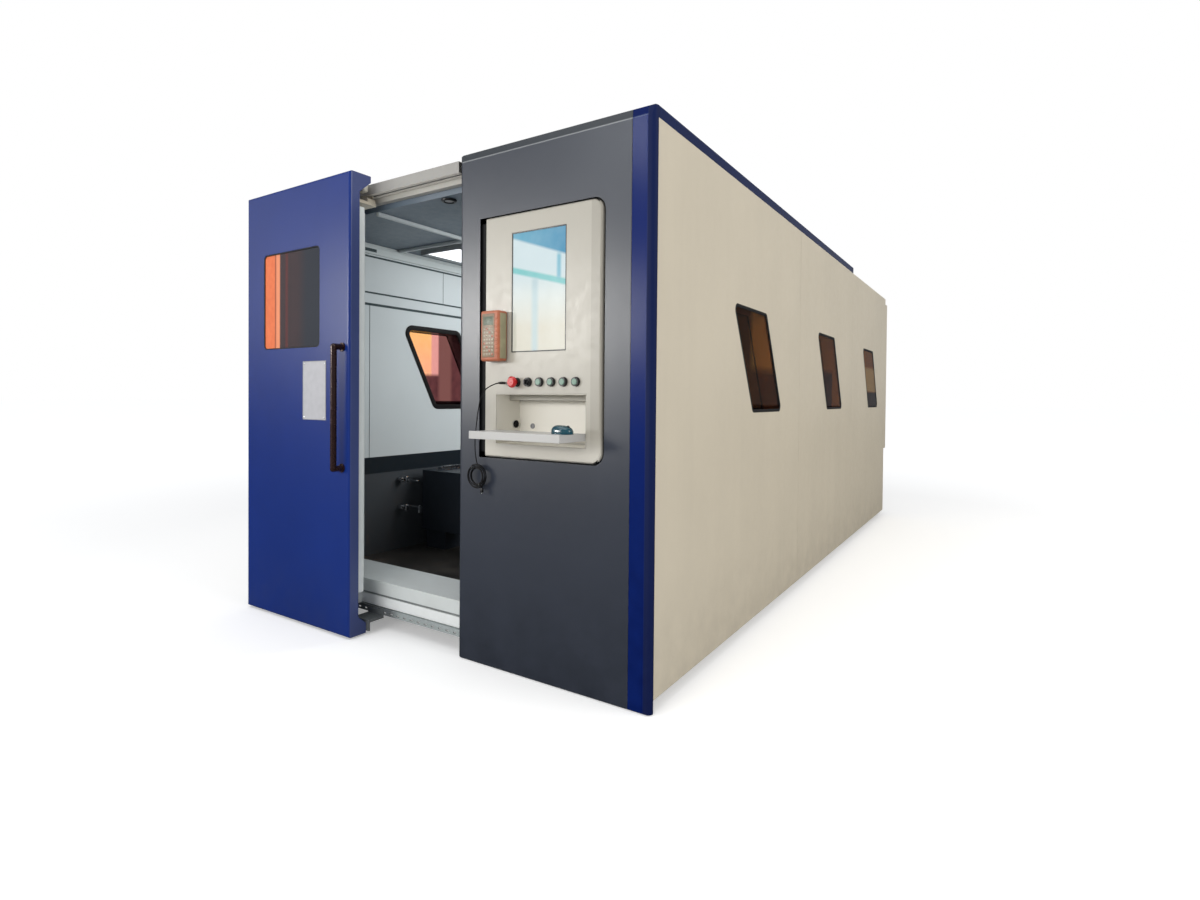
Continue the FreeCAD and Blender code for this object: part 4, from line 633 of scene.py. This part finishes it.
def add_ring(bm, outline, section, place, mat=0):
    """Sweep a closed section (across, proud) round a 2-D outline; place maps
    (2-D point, proud) to the row frame."""
    n = len(outline)
    area = sum(outline[i].x * outline[(i + 1) % n].y - outline[(i + 1) % n].x * outline[i].y for i in range(n))
    sign = 1.0 if area > 0 else -1.0
    rings = []
    for i in range(n):
        t = (outline[(i + 1) % n] - outline[i - 1]).normalized()
        nrm = Vector((t.y, -t.x)) * sign
        rings.append([bm.verts.new(place(outline[i] + nrm * a, b)) for a, b in section])
    m = len(section)
    for i in range(n):
        A, B = rings[i], rings[(i + 1) % n]
        for j in range(m):
            f = bm.faces.new((A[j], A[(j + 1) % m], B[(j + 1) % m], B[j]))
            f.material_index = mat


# ------------------------------------------------- the lead on the console
ROUTE = [(708, -56, 1262), (709, -77, 1260), (722, -93, 1251), (748, -98, 1238), (779, -88, 1217), (812, -66, 1192), (842, -43, 1160),
         (862, -31, 1118), (873, -27, 1070), (879, -27, 1021), (878, -29, 972), (871, -30, 930), (864, -30.5, 909)]
COIL_S, COIL_D, COIL_Z, COIL_R = 864.0, -30.0, 850.6, 44.0
TURNS, STEPS, BUNDLE = 6.30, 16, 8.6
route = [W(*p) for p in ROUTE]


def coil_point(turn):
    th = math.radians(112.0) + 2 * math.pi * turn
    ph = math.radians(60.0) + 2 * math.pi * turn / 7.0
    r = (COIL_R + BUNDLE * math.cos(ph)) / 0.985
    return W(COIL_S + r * math.cos(th), COIL_D + BUNDLE * math.sin(ph), COIL_Z + r * math.sin(th))


route.append(W(859.5, -30.0, 899.0))
count = int(round(TURNS * STEPS))
for i in range(count + 1):
    route.append(coil_point(i / STEPS))
last = coil_point(count / STEPS)
route.append(W(826.0, -31.0, 822.0))
route.append(W(831.5, -31.0, 812.0))
route.append(W(833.0, -31.0, 802.0))

curve = bpy.data.curves.new("lead", "CURVE")
curve.dimensions = "3D"
curve.bevel_depth = 0.0024
curve.bevel_resolution = 5
curve.resolution_u = 8
sp = curve.splines.new("NURBS")
sp.points.add(len(route) - 1)
for pt, co in zip(sp.points, route):
    pt.co = (co.x, co.y, co.z, 1.0)
sp.order_u = 3
sp.use_endpoint_u = True
curve.use_fill_caps = True
curve.materials.append(M["cable"])
lead = bpy.data.objects.new("lead_cable", curve)
scene.collection.objects.link(lead)
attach(lead, "frame")
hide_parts("usb_cord", "usb_cord_coil")

bm = bmesh.new()
add_box(bm, 699.5, 716.5, -56, -28, 1257, 1267, 3.0, 4, 0)
for k in range(5):
    add_box(bm, 701.5, 714.5, -50 + 4.2 * k, -48.2 + 4.2 * k, 1256.4, 1267.6, 0.5, 2, 0)
add_box(bm, 702, 714, -28.5, -10.5, 1259.7, 1264.3, 0.6, 2, 1)
add_lathe(bm, W(708, -55.5, 1262), (-0.02, -1.0, -0.05), [(0, 0), (4.6, 0), (4.6, 1.5), (4.0, 3), (4.0, 4), (3.5, 4.2), (3.7, 6), (3.1, 6.2), (3.3, 8.5), (2.9, 12.5), (2.2, 13)], 24)
plug = finish_mesh(bm, "lead_plug", "frame", [M["black_plastic"], M["silver"]], 40)
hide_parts("usb_plug")

bm = bmesh.new()
add_box(bm, 826.2, 839.8, -35.8, -26.2, 780, 799.5, 2.2, 3, 0)
add_box(bm, 827.5, 838.5, -33.3, -28.7, 774.2, 781, 0.5, 2, 1)
add_lathe(bm, W(833, -31, 799), (0, 0, 1.0), [(0, 0), (3.8, 0), (3.4, 1.6), (2.6, 2.3), (0, 2.4)], 24)
end_plug = finish_mesh(bm, "lead_end_plug", "frame", [M["black_plastic"], M["silver"]], 40)
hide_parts("usb_cord_end")

# two ties round the coil
bm = bmesh.new()
for ang in (62.0, 238.0):
    a = math.radians(ang)
    radial = Vector((-math.cos(a), 0, math.sin(a)))
    centre = W(COIL_S + COIL_R * math.cos(a), COIL_D, COIL_Z + COIL_R * math.sin(a))
    tangent = Vector((math.sin(a), 0, math.cos(a)))
    outer, inner, half = 12.5, 11.1, 2.4
    n = 28
    rings = []
    for h, r in ((-half, outer), (half, outer), (half, inner), (-half, inner)):
        rings.append([bm.verts.new(centre + tangent * (h / 1000.0) + (radial * math.cos(2 * math.pi * i / n) + Vector((0, 1, 0)) * math.sin(2 * math.pi * i / n)) * (r / 1000.0))
                      for i in range(n)])
    for q in range(4):
        A, B = rings[q], rings[(q + 1) % 4]
        for i in range(n):
            bm.faces.new((A[i], A[(i + 1) % n], B[(i + 1) % n], B[i]))
tie = finish_mesh(bm, "lead_ties", "frame", M["black_plastic"], 40)

# ------------------------------------------------------- console details
# painted shade: black sheets in the gap round the console panel
bm = bmesh.new()
for s0, s1, z0, z1 in ((822, 900, 916, 2010), (206, 240, 916, 2010), (206, 900, 916, 958), (206, 900, 1973, 2010)):
    add_box(bm, s0, s1, 12.0, 13.5, z0, z1)
finish_mesh(bm, "console_gap_liner", "frame", M["gap"])

# screen bezel inside the panel's window
bm = bmesh.new()
outline = rounded_outline([(397.6, 1393.6), (684.4, 1393.6), (684.4, 1904.4), (397.6, 1904.4)], 3.0, 4)
add_ring(bm, outline, [(0, 0), (0, -1.6), (-4.5, -1.2), (-5.0, 0)], lambda p, b: W(p.x, -10.0 + b, p.y))
finish_mesh(bm, "screen_bezel", "frame", M["black_plastic"])

# keyboard niche: cable ports and a folded stiffener under its top
bm = bmesh.new()
add_lathe(bm, W(765.8, 118, 1080), (1, 0, 0), [(0, 0), (17, 0), (17, 3), (14, 5), (11, 5), (10, 1.5), (0, 1.5)], 32, 0)
add_lathe(bm, W(692, 147.6, 1072), (0, -1, 0), [(0, 0), (12, 0), (12, 3), (10, 4), (7, 4), (7, 1), (0, 1)], 32, 1)
finish_mesh(bm, "niche_ports", "frame", [M["gap"], M["card_edge"]], 40)
bm = bmesh.new()
add_box(bm, 299, 767, 76, 98, 1187, 1189.5, 0.8, 2)
add_box(bm, 299, 767, 76, 78.5, 1187, 1211, 0.8, 2)
add_box(bm, 294, 772, -13.6, -12.0, 1212.5, 1219.0, 0.6, 2)
finish_mesh(bm, "niche_stiffener", "frame", M["console"])

# tray: rolled front lip and underside channel
bm = bmesh.new()
add_box(bm, 300.2, 765.8, -181.8, -176, 1057.5, 1061.0, 1.2, 3)
add_box(bm, 328, 738, -150, -40, 1026.2, 1029.5, 1.2, 2)
finish_mesh(bm, "tray_lip", "keyboard_tray", M["tray_white"])

# grip ribs round the switch collars and a shadow ring on the panel
bm = bmesh.new()
for i in range(6):
    s = 344 + 61.5 * i
    add_lathe(bm, W(s, -12.02, 1266), (0, -1, 0), [(18.05, 0), (19.6, 0), (19.6, 1.6), (18.6, 2.4), (18.05, 2.4)], 36)
    for k in range(20):
        a = 2 * math.pi * k / 20
        c, t = math.cos(a), math.sin(a)
        add_lathe(bm, W(s + 18.0 * c, -13.5, 1266 + 18.0 * t), (0, -1, 0), [(0, 0), (0.8, 0), (0.8, 10.5), (0, 10.5)], 6)
finish_mesh(bm, "switch_guards", "frame", M["black_plastic"], 30)


def mouse_mesh():
    bm = bmesh.new()
    rows, cols = 26, 48
    hs, hd, hz = 47.0, 30.3, 34.6
    c = (346.0, -101.0, 1059.2)
    grid = []
    for i in range(rows + 1):
        ph = math.pi / 2 * i / rows
        line = []
        for j in range(cols):
            th = 2 * math.pi * j / cols
            cc, ss = math.cos(th), math.sin(th)
            k = math.sin(ph) ** 0.8 if i else 0.0
            px = hs * k * math.copysign(abs(cc) ** 0.86, cc)
            py = hd * k * math.copysign(abs(ss) ** 0.80, ss)
            pz = hz * max(0.0, math.cos(ph)) ** 0.62
            pz *= 1.0 - 0.12 * (px / hs)
            if abs(py) < 1.2 and px > 6 and i < rows - 6:
                pz -= 0.9
            line.append(bm.verts.new(W(c[0] - px, c[1] + py, c[2] + pz)))
            if i == 0:
                break
        grid.append(line)
    for i in range(rows):
        A, B = grid[i], grid[i + 1]
        for j in range(cols):
            k = (j + 1) % cols
            if len(A) == 1:
                bm.faces.new((A[0], B[j], B[k]))
            else:
                bm.faces.new((A[j], B[j], B[k], A[k]))
    bm.faces.new(list(reversed(grid[-1])))
    add_lathe(bm, W(c[0] - 27, c[1] + 2.6, c[2] + 27.5), (0, -1, 0), [(0, 0), (6.5, 0), (7.2, 1.0), (7.2, 4.2), (6.5, 5.2), (0, 5.2)], 24, 1)
    return bm


mouse = finish_mesh(mouse_mesh(), "pointer_mouse", "keyboard_tray", [M["teal"], M["black_plastic"]], 60)
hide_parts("mouse")

# hand pendant: bumper, faces, keys and a small display, all bare
bm = bmesh.new()
add_box(bm, 706.2, 809.8, -71.0, -12.5, 1356.2, 1571.8, 9.0, 5, 0)
add_box(bm, 727, 801, -72.0, -66, 1370, 1560, 4.0, 3, 1)
add_box(bm, 705.9, 712, -62, -20, 1366, 1562, 2.5, 3, 2)
add_box(bm, 735, 793, -72.0, -69, 1508, 1548, 1.5, 2, 3)
for r in range(8):
    for c in range(4):
        s0 = 734.5 + 15.2 * c
        z0 = 1378.5 + 15.6 * r
        add_box(bm, s0, s0 + 12.2, -72.0, -69.0, z0, z0 + 11.2, 1.2, 2, 4 if (r * 3 + c * 2) % 5 else 5)
for k in range(9):
    add_box(bm, 713.5, 722.5, -72.0, -69, 1388 + 18 * k, 1398 + 18 * k, 1.4, 2, 0)
pend = finish_mesh(bm, "hand_pendant", "frame", [M["orange"], M["panel_face"], M["olive"], M["lcd"], M["key_light"], M["key_rust"]], 40)
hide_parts("remote_pendant")


# ------------------------------------------------------ window gaskets
def window_corners(k, grow=0.0):
    st = 825.0 + 1575.0 * k
    return [(st + 271 - grow, 1141 - grow), (st + 741 + grow, 1141 - grow), (st + 470 + grow, 1658 + grow), (st - grow, 1658 + grow)]


bm = bmesh.new()
for k in range(3):
    inner = rounded_outline(window_corners(k, 5.0), 34.0, 8)
    prof = [(-8, -3.0), (-8, 4.0), (-5, 7.0), (17, 7.0), (24, 4.0), (24, -0.2), (0, -0.2), (0, -3.0)]
    lip = [(-8, -1.9), (-8, 4.0), (-5, 7.0), (17, 7.0), (24, 4.0), (24, -0.2), (0, -0.2), (0, -1.9)]
    add_ring(bm, inner, lip, lambda p, b: W(2333.0 - b, p.x, p.y))
    add_ring(bm, inner, prof, lambda p, b: W(107.0 + b, p.x, p.y))
finish_mesh(bm, "window_gaskets_inner", "frame", M["rubber"], 40)
bm = bmesh.new()
for k in range(3):
    outer = rounded_outline(window_corners(k, -3.5), 19.0, 8)
    prof = [(-3.5, 0.2), (-3.5, 1.2), (-1.5, 2.2), (3.4, 2.2), (3.4, 0.2)]
    flat = [(3.2, 1.9), (3.2, 2.2), (12.5, 2.2), (12.5, 1.9)]
    for sec in (prof, flat):
        add_ring(bm, outer, sec, lambda p, b: W(2.0 - b, p.x, p.y))
        add_ring(bm, outer, sec, lambda p, b: W(2438.0 + b, p.x, p.y))
finish_mesh(bm, "window_gaskets_outer", "frame", M["rubber"], 40)

bm = bmesh.new()
dw = rounded_outline([(1834.5, 1451.5), (2335.5, 1451.5), (2335.5, 1961.5), (1834.5, 1961.5)], 24.0, 8)
add_ring(bm, dw, [(-3.5, 0.3), (-3.5, 3.0), (-1.5, 4.6), (1.6, 4.6), (2.4, 4.0), (2.4, 0.3)], lambda p, b: W(p.x, -150.0 - b, p.y))
finish_mesh(bm, "door_window_gasket", "front_door", M["rubber"], 40)

# nylon cap of the hanger at the top of the closing edge
bm = bmesh.new()
add_box(bm, 1640, 1688, -42, -8, 2234, 2284, 12.0, 5, 0)
add_lathe(bm, W(1664, -41.8, 2259), (0, -1, 0), [(0, 0), (9, 0), (9, 2), (5, 4), (0, 4)], 24, 1)
finish_mesh(bm, "hanger_cap", "front_door", [M["nylon"], M["zinc"]], 40)

# blank plate on the door: rim and four rivets
bm = bmesh.new()
rim = rounded_outline([(1777.5, 1078.5), (1970.5, 1078.5), (1970.5, 1376.5), (1777.5, 1376.5)], 4.0, 3)
add_ring(bm, rim, [(-2.2, 0.0), (-2.2, 0.9), (1.2, 0.9), (1.2, 0.0)], lambda p, b: W(p.x, -157.5 - b, p.y), 0)
for s in (1788, 1960):
    for z in (1089, 1366):
        add_lathe(bm, W(s, -157.4, z), (0, -1, 0), [(4.0, 0), (4.0, 0.6), (2.8, 1.6), (0, 2.0)], 20, 1)
finish_mesh(bm, "door_plate_rim", "front_door", [M["card_edge"], M["silver"]], 40)

# ------------------------------------------------------ toothed slats
bm = bmesh.new()
for k in range(30):
    d0 = 1080 + 95 + 100 * k
    pts = [(438.0, 640.0)]
    n = 26
    pitch = (2002.0 - 438.0) / n
    for i in range(n):
        a = 438.0 + pitch * i
        wear = 2.5 * math.sin(1.7 * i + 2.3 * k) ** 2
        pts += [(a, 668.0), (a + 0.46 * pitch, 699.8 - wear), (a + 0.54 * pitch, 699.8 - wear)]
    pts += [(2002.0, 668.0), (2002.0, 640.0)]
    front = [bm.verts.new(W(s, d0, z)) for s, z in pts]
    back = [bm.verts.new(W(s, d0 + 3, z)) for s, z in pts]
    bm.faces.new(front)
    bm.faces.new(list(reversed(back)))
    for i in range(len(pts)):
        j = (i + 1) % len(pts)
        bm.faces.new((front[i], back[i], back[j], front[j]))
slats = finish_mesh(bm, "toothed_slats", "frame", M["slat"])
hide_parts("table_slats")

# nozzle tip and collar ring on the head
bm = bmesh.new()
hc = W(1220, 3624.8, 745)
add_lathe(bm, hc, (0, 0, 1), [(0.9, 0.2), (4.6, 0.2), (14.4, 27.5), (14.4, 31), (12, 31), (12, 33), (0.9, 33), (0.9, 0.2)], 36, 0)
add_lathe(bm, hc, (0, 0, 1), [(20.3, 36), (21.6, 37), (21.6, 46), (20.3, 47)], 36, 1)
finish_mesh(bm, "nozzle", "cutting_head", [M["brass"], M["silver"]], 40)

# -------------------------------------------------- inside of the bay
# joints between the liner sheets
bm = bmesh.new()
for s, proud in ((2333.0, 1.0), (107.0, -1.0)):
    for d, z0, z1 in ((530, 806, 1788), (1157, 1870, 2094), (1950, 806, 1788), (2732, 1870, 2094), (3517, 806, 1788), (4307, 1870, 2094)):
        if proud < 0 and d < 800:
            continue
        add_box(bm, s - 0.5, s - 1.1 * proud, d - 1.6, d + 1.6, z0, z1)
    d_from = 96 if proud > 0 else 778
    for z0, z1 in ((2087, 2099), (1857, 1868), (1780, 1796)):
        add_box(bm, s - 0.5, s - 1.1 * proud, d_from, 4990, z0, z1)
finish_mesh(bm, "liner_joints", "frame", M["joint"])

# folded rail between the liner and the roof
bm = bmesh.new()
for a, b_ in ((2318, 2332.8), (107.2, 122)):
    d_from = 96 if a > 1000 else 778
    add_box(bm, a, b_, d_from, 4988, 2109, 2170.4, 1.2, 2)
    add_box(bm, a - (6 if a > 1000 else 0), b_ + (0 if a > 1000 else 6), d_from, 4988, 2150, 2157, 1.2, 2)
finish_mesh(bm, "liner_top_rail", "frame", M["rail_paint"])

# ceiling: folded beams, a bay header and the round sensor
bm = bmesh.new()
add_box(bm, 1690, 1712, 92, 742, 2152, 2170.5, 1.5, 2)
add_box(bm, 124, 2316, 742, 766, 2154, 2170.5, 1.5, 2)
add_box(bm, 124, 2316, 2446, 2466, 2138, 2170.5, 1.5, 2)
finish_mesh(bm, "ceiling_beams", "frame", M["liner"])
bm = bmesh.new()
add_box(bm, 2317.2, 2318.2, 478, 570, 2121, 2141, 0.3, 2)
finish_mesh(bm, "rail_end_gap", "frame", M["joint"])
bm = bmesh.new()
add_lathe(bm, W(1220, 138, 2170.8), (0, 0, -1), [(0, 0), (37, 0), (38, 3), (36.5, 8), (30, 11), (25, 9.5), (23.5, 5), (0, 5)], 48, 0)
add_lathe(bm, W(1220, 138, 2165.6), (0, 0, -1), [(22, 0), (20, 2.0), (0, 3.5)], 40, 1)
finish_mesh(bm, "ceiling_sensor", "frame", [M["black_plastic"], M["card_edge"]], 40)

# lamp housings
bm = bmesh.new()
for s0, s1 in ((300, 660), (1780, 2140)):
    add_box(bm, s0 - 12, s0 - 0.4, 790, 2436, 2150, 2170.6, 1.0, 2)
    add_box(bm, s1 + 0.4, s1 + 12, 790, 2436, 2150, 2170.6, 1.0, 2)
    add_box(bm, s0 - 12, s0 + 34, 786, 2436, 2129.5, 2133.6, 0.8, 2)
    add_box(bm, s1 - 34, s1 + 12, 786, 2436, 2129.5, 2133.6, 0.8, 2)
    add_box(bm, s0 - 12, s1 + 12, 786, 795.6, 2129.5, 2170.5, 0.8, 2)
finish_mesh(bm, "lamp_housings", "frame", M["rim"])

# clamps and bolt heads on the front beam of the bed
bm = bmesh.new()
for z, tall in ((645, 20), (458, 22)):
    add_box(bm, 2262, 2332.5, 768, 792, z - tall, z + tall, 4, 3, 0)
    add_box(bm, 2290, 2332.5, 752, 770, z - 13, z + 13, 3, 3, 0)
    add_lathe(bm, W(2276, 768.3, z), (0, -1, 0), [(0, 0), (9, 0), (9, 5), (4.5, 7), (0, 7)], 20, 1)
add_box(bm, 2142, 2262, 776, 784, 470, 478, 1.5, 2, 0)
add_box(bm, 2136, 2150, 768, 792, 434, 482, 3, 3, 0)
add_box(bm, 2160, 2262, 778, 784, 640, 646, 1.5, 2, 0)
for s in range(260, 2100, 230):
    for z in (340, 660):
        add_lathe(bm, W(s, 900.4, z), (0, -1, 0), [(0, 0), (12, 0), (12, 2), (9, 2.4), (9, 8), (7.5, 9), (0, 9)], 18, 0)
finish_mesh(bm, "bed_clamps", "frame", [M["silver"], M["black_plastic"]], 40)

# ------------------------------------------------------------ the stage
bpy.ops.mesh.primitive_plane_add(size=240.0, location=(0, 0, 0))
floor = bpy.context.object
floor.name = "studio_floor"
mf, nt, b = base_material("studio_floor")
b.inputs["Base Color"].default_value = (0.86, 0.86, 0.86, 1)
b.inputs["Roughness"].default_value = 0.85
b.inputs["Specular IOR Level"].default_value = 0.2
b.inputs["Emission Color"].default_value = (1, 1, 1, 1)
dim = nn(nt, "ShaderNodeBsdfDiffuse")
dim.inputs["Color"].default_value = (0.05, 0.054, 0.060, 1)
flp = nn(nt, "ShaderNodeLightPath")
fmix = nn(nt, "ShaderNodeMixShader")
fout = [n for n in nt.nodes if n.bl_idname == "ShaderNodeOutputMaterial"][0]
nt.links.new(flp.outputs["Is Glossy Ray"], fmix.inputs[0])
nt.links.new(b.outputs[0], fmix.inputs[1])
nt.links.new(dim.outputs[0], fmix.inputs[2])
nt.links.new(fmix.outputs[0], fout.inputs[0])
reach = nn(nt, "ShaderNodeVectorMath", operation="LENGTH")
nt.links.new(nn(nt, "ShaderNodeNewGeometry").outputs["Position"], reach.inputs[0])
nt.links.new(mathn(nt, "MULTIPLY", flp.outputs["Is Camera Ray"], ramp(nt, reach.outputs["Value"], 4.5, 9.5, 0.30, 0.52)),
             b.inputs["Emission Strength"])
floor.data.materials.append(mf)

world = bpy.data.worlds.new("studio")
scene.world = world
world.use_nodes = True
wn = world.node_tree
wn.nodes.clear()
wo = nn(wn, "ShaderNodeOutputWorld")
plain = nn(wn, "ShaderNodeBackground")
plain.inputs["Color"].default_value = (1.0, 1.0, 1.0, 1)
plain.inputs["Strength"].default_value = 1.0
soft = nn(wn, "ShaderNodeBackground")
soft.inputs["Color"].default_value = (0.955, 0.975, 1.0, 1)
soft.inputs["Strength"].default_value = 0.60
gloss = nn(wn, "ShaderNodeBackground")
gloss.inputs["Color"].default_value = (0.92, 0.96, 1.0, 1)
gloss.inputs["Strength"].default_value = 0.30
lp = nn(wn, "ShaderNodeLightPath")
m1 = nn(wn, "ShaderNodeMixShader")
m2 = nn(wn, "ShaderNodeMixShader")
wn.links.new(lp.outputs["Is Glossy Ray"], m1.inputs[0])
wn.links.new(soft.outputs[0], m1.inputs[1])
wn.links.new(gloss.outputs[0], m1.inputs[2])
m3 = nn(wn, "ShaderNodeMixShader")
wn.links.new(lp.outputs["Is Transmission Ray"], m3.inputs[0])
wn.links.new(m1.outputs[0], m3.inputs[1])
wn.links.new(plain.outputs[0], m3.inputs[2])
wn.links.new(lp.outputs["Is Camera Ray"], m2.inputs[0])
wn.links.new(m3.outputs[0], m2.inputs[1])
wn.links.new(plain.outputs[0], m2.inputs[2])
wn.links.new(m2.outputs[0], wo.inputs[0])


def area(name, place, target, size, size_y, power, color=(1, 1, 1)):
    d = bpy.data.lights.new(name, "AREA")
    d.shape = "RECTANGLE"
    d.size = size
    d.size_y = size_y
    d.energy = power
    d.color = color
    o = bpy.data.objects.new(name, d)
    scene.collection.objects.link(o)
    o.location = place
    o.rotation_euler = (Vector(target) - Vector(place)).to_track_quat("-Z", "Y").to_euler()
    return o


# soft windows of the studio: the first two show in the gloss only
def gloss_only(o):
    o.visible_camera = False
    o.visible_diffuse = False
    o.visible_transmission = False


glow = area("soft_window", (-5.3, -8.9, 2.50), (0.5, -2.6, 1.5), 3.0, 1.3, 268.0, (1.0, 0.985, 0.95))
gloss_only(glow)
side = area("soft_window_right", (-3.0, -8.9, 2.50), (1.1, -2.6, 1.5), 1.7, 1.2, 72.0, (1.0, 0.985, 0.95))
gloss_only(side)
high = area("soft_high", (-9.8, -8.4, 4.3), (-0.8, -2.6, 1.8), 7.0, 4.6, 42.0, (0.96, 0.98, 1.0))
gloss_only(high)
corner = area("soft_corner", (-2.37, -8.91, 5.20), (1.19, -2.535, 2.20), 0.8, 0.8, 34.0, (0.97, 0.99, 1.0))
gloss_only(corner)
front = area("soft_front", (0.2, -9.5, 2.7), (0.1, -2.5, 1.45), 6.0, 1.6, 225.0, (1.0, 0.985, 0.96))
front.visible_camera = False
front.visible_glossy = False
area("soft_right", (9.5, -0.8, 6.0), (1.2, 0.6, 1.2), 6.0, 4.0, 385.0, (1.0, 0.965, 0.91))
area("soft_top", (-0.5, -4.5, 8.0), (0.0, -1.0, 1.0), 7.0, 5.0, 150.0)
inside = area("bay_fill", (0.55, -0.75, 1.65), (-1.4, -1.2, 1.15), 1.5, 1.0, 31.0, (0.97, 1.0, 1.0))
inside.visible_camera = False
inside.visible_glossy = False

scene.view_settings.view_transform = "Standard"
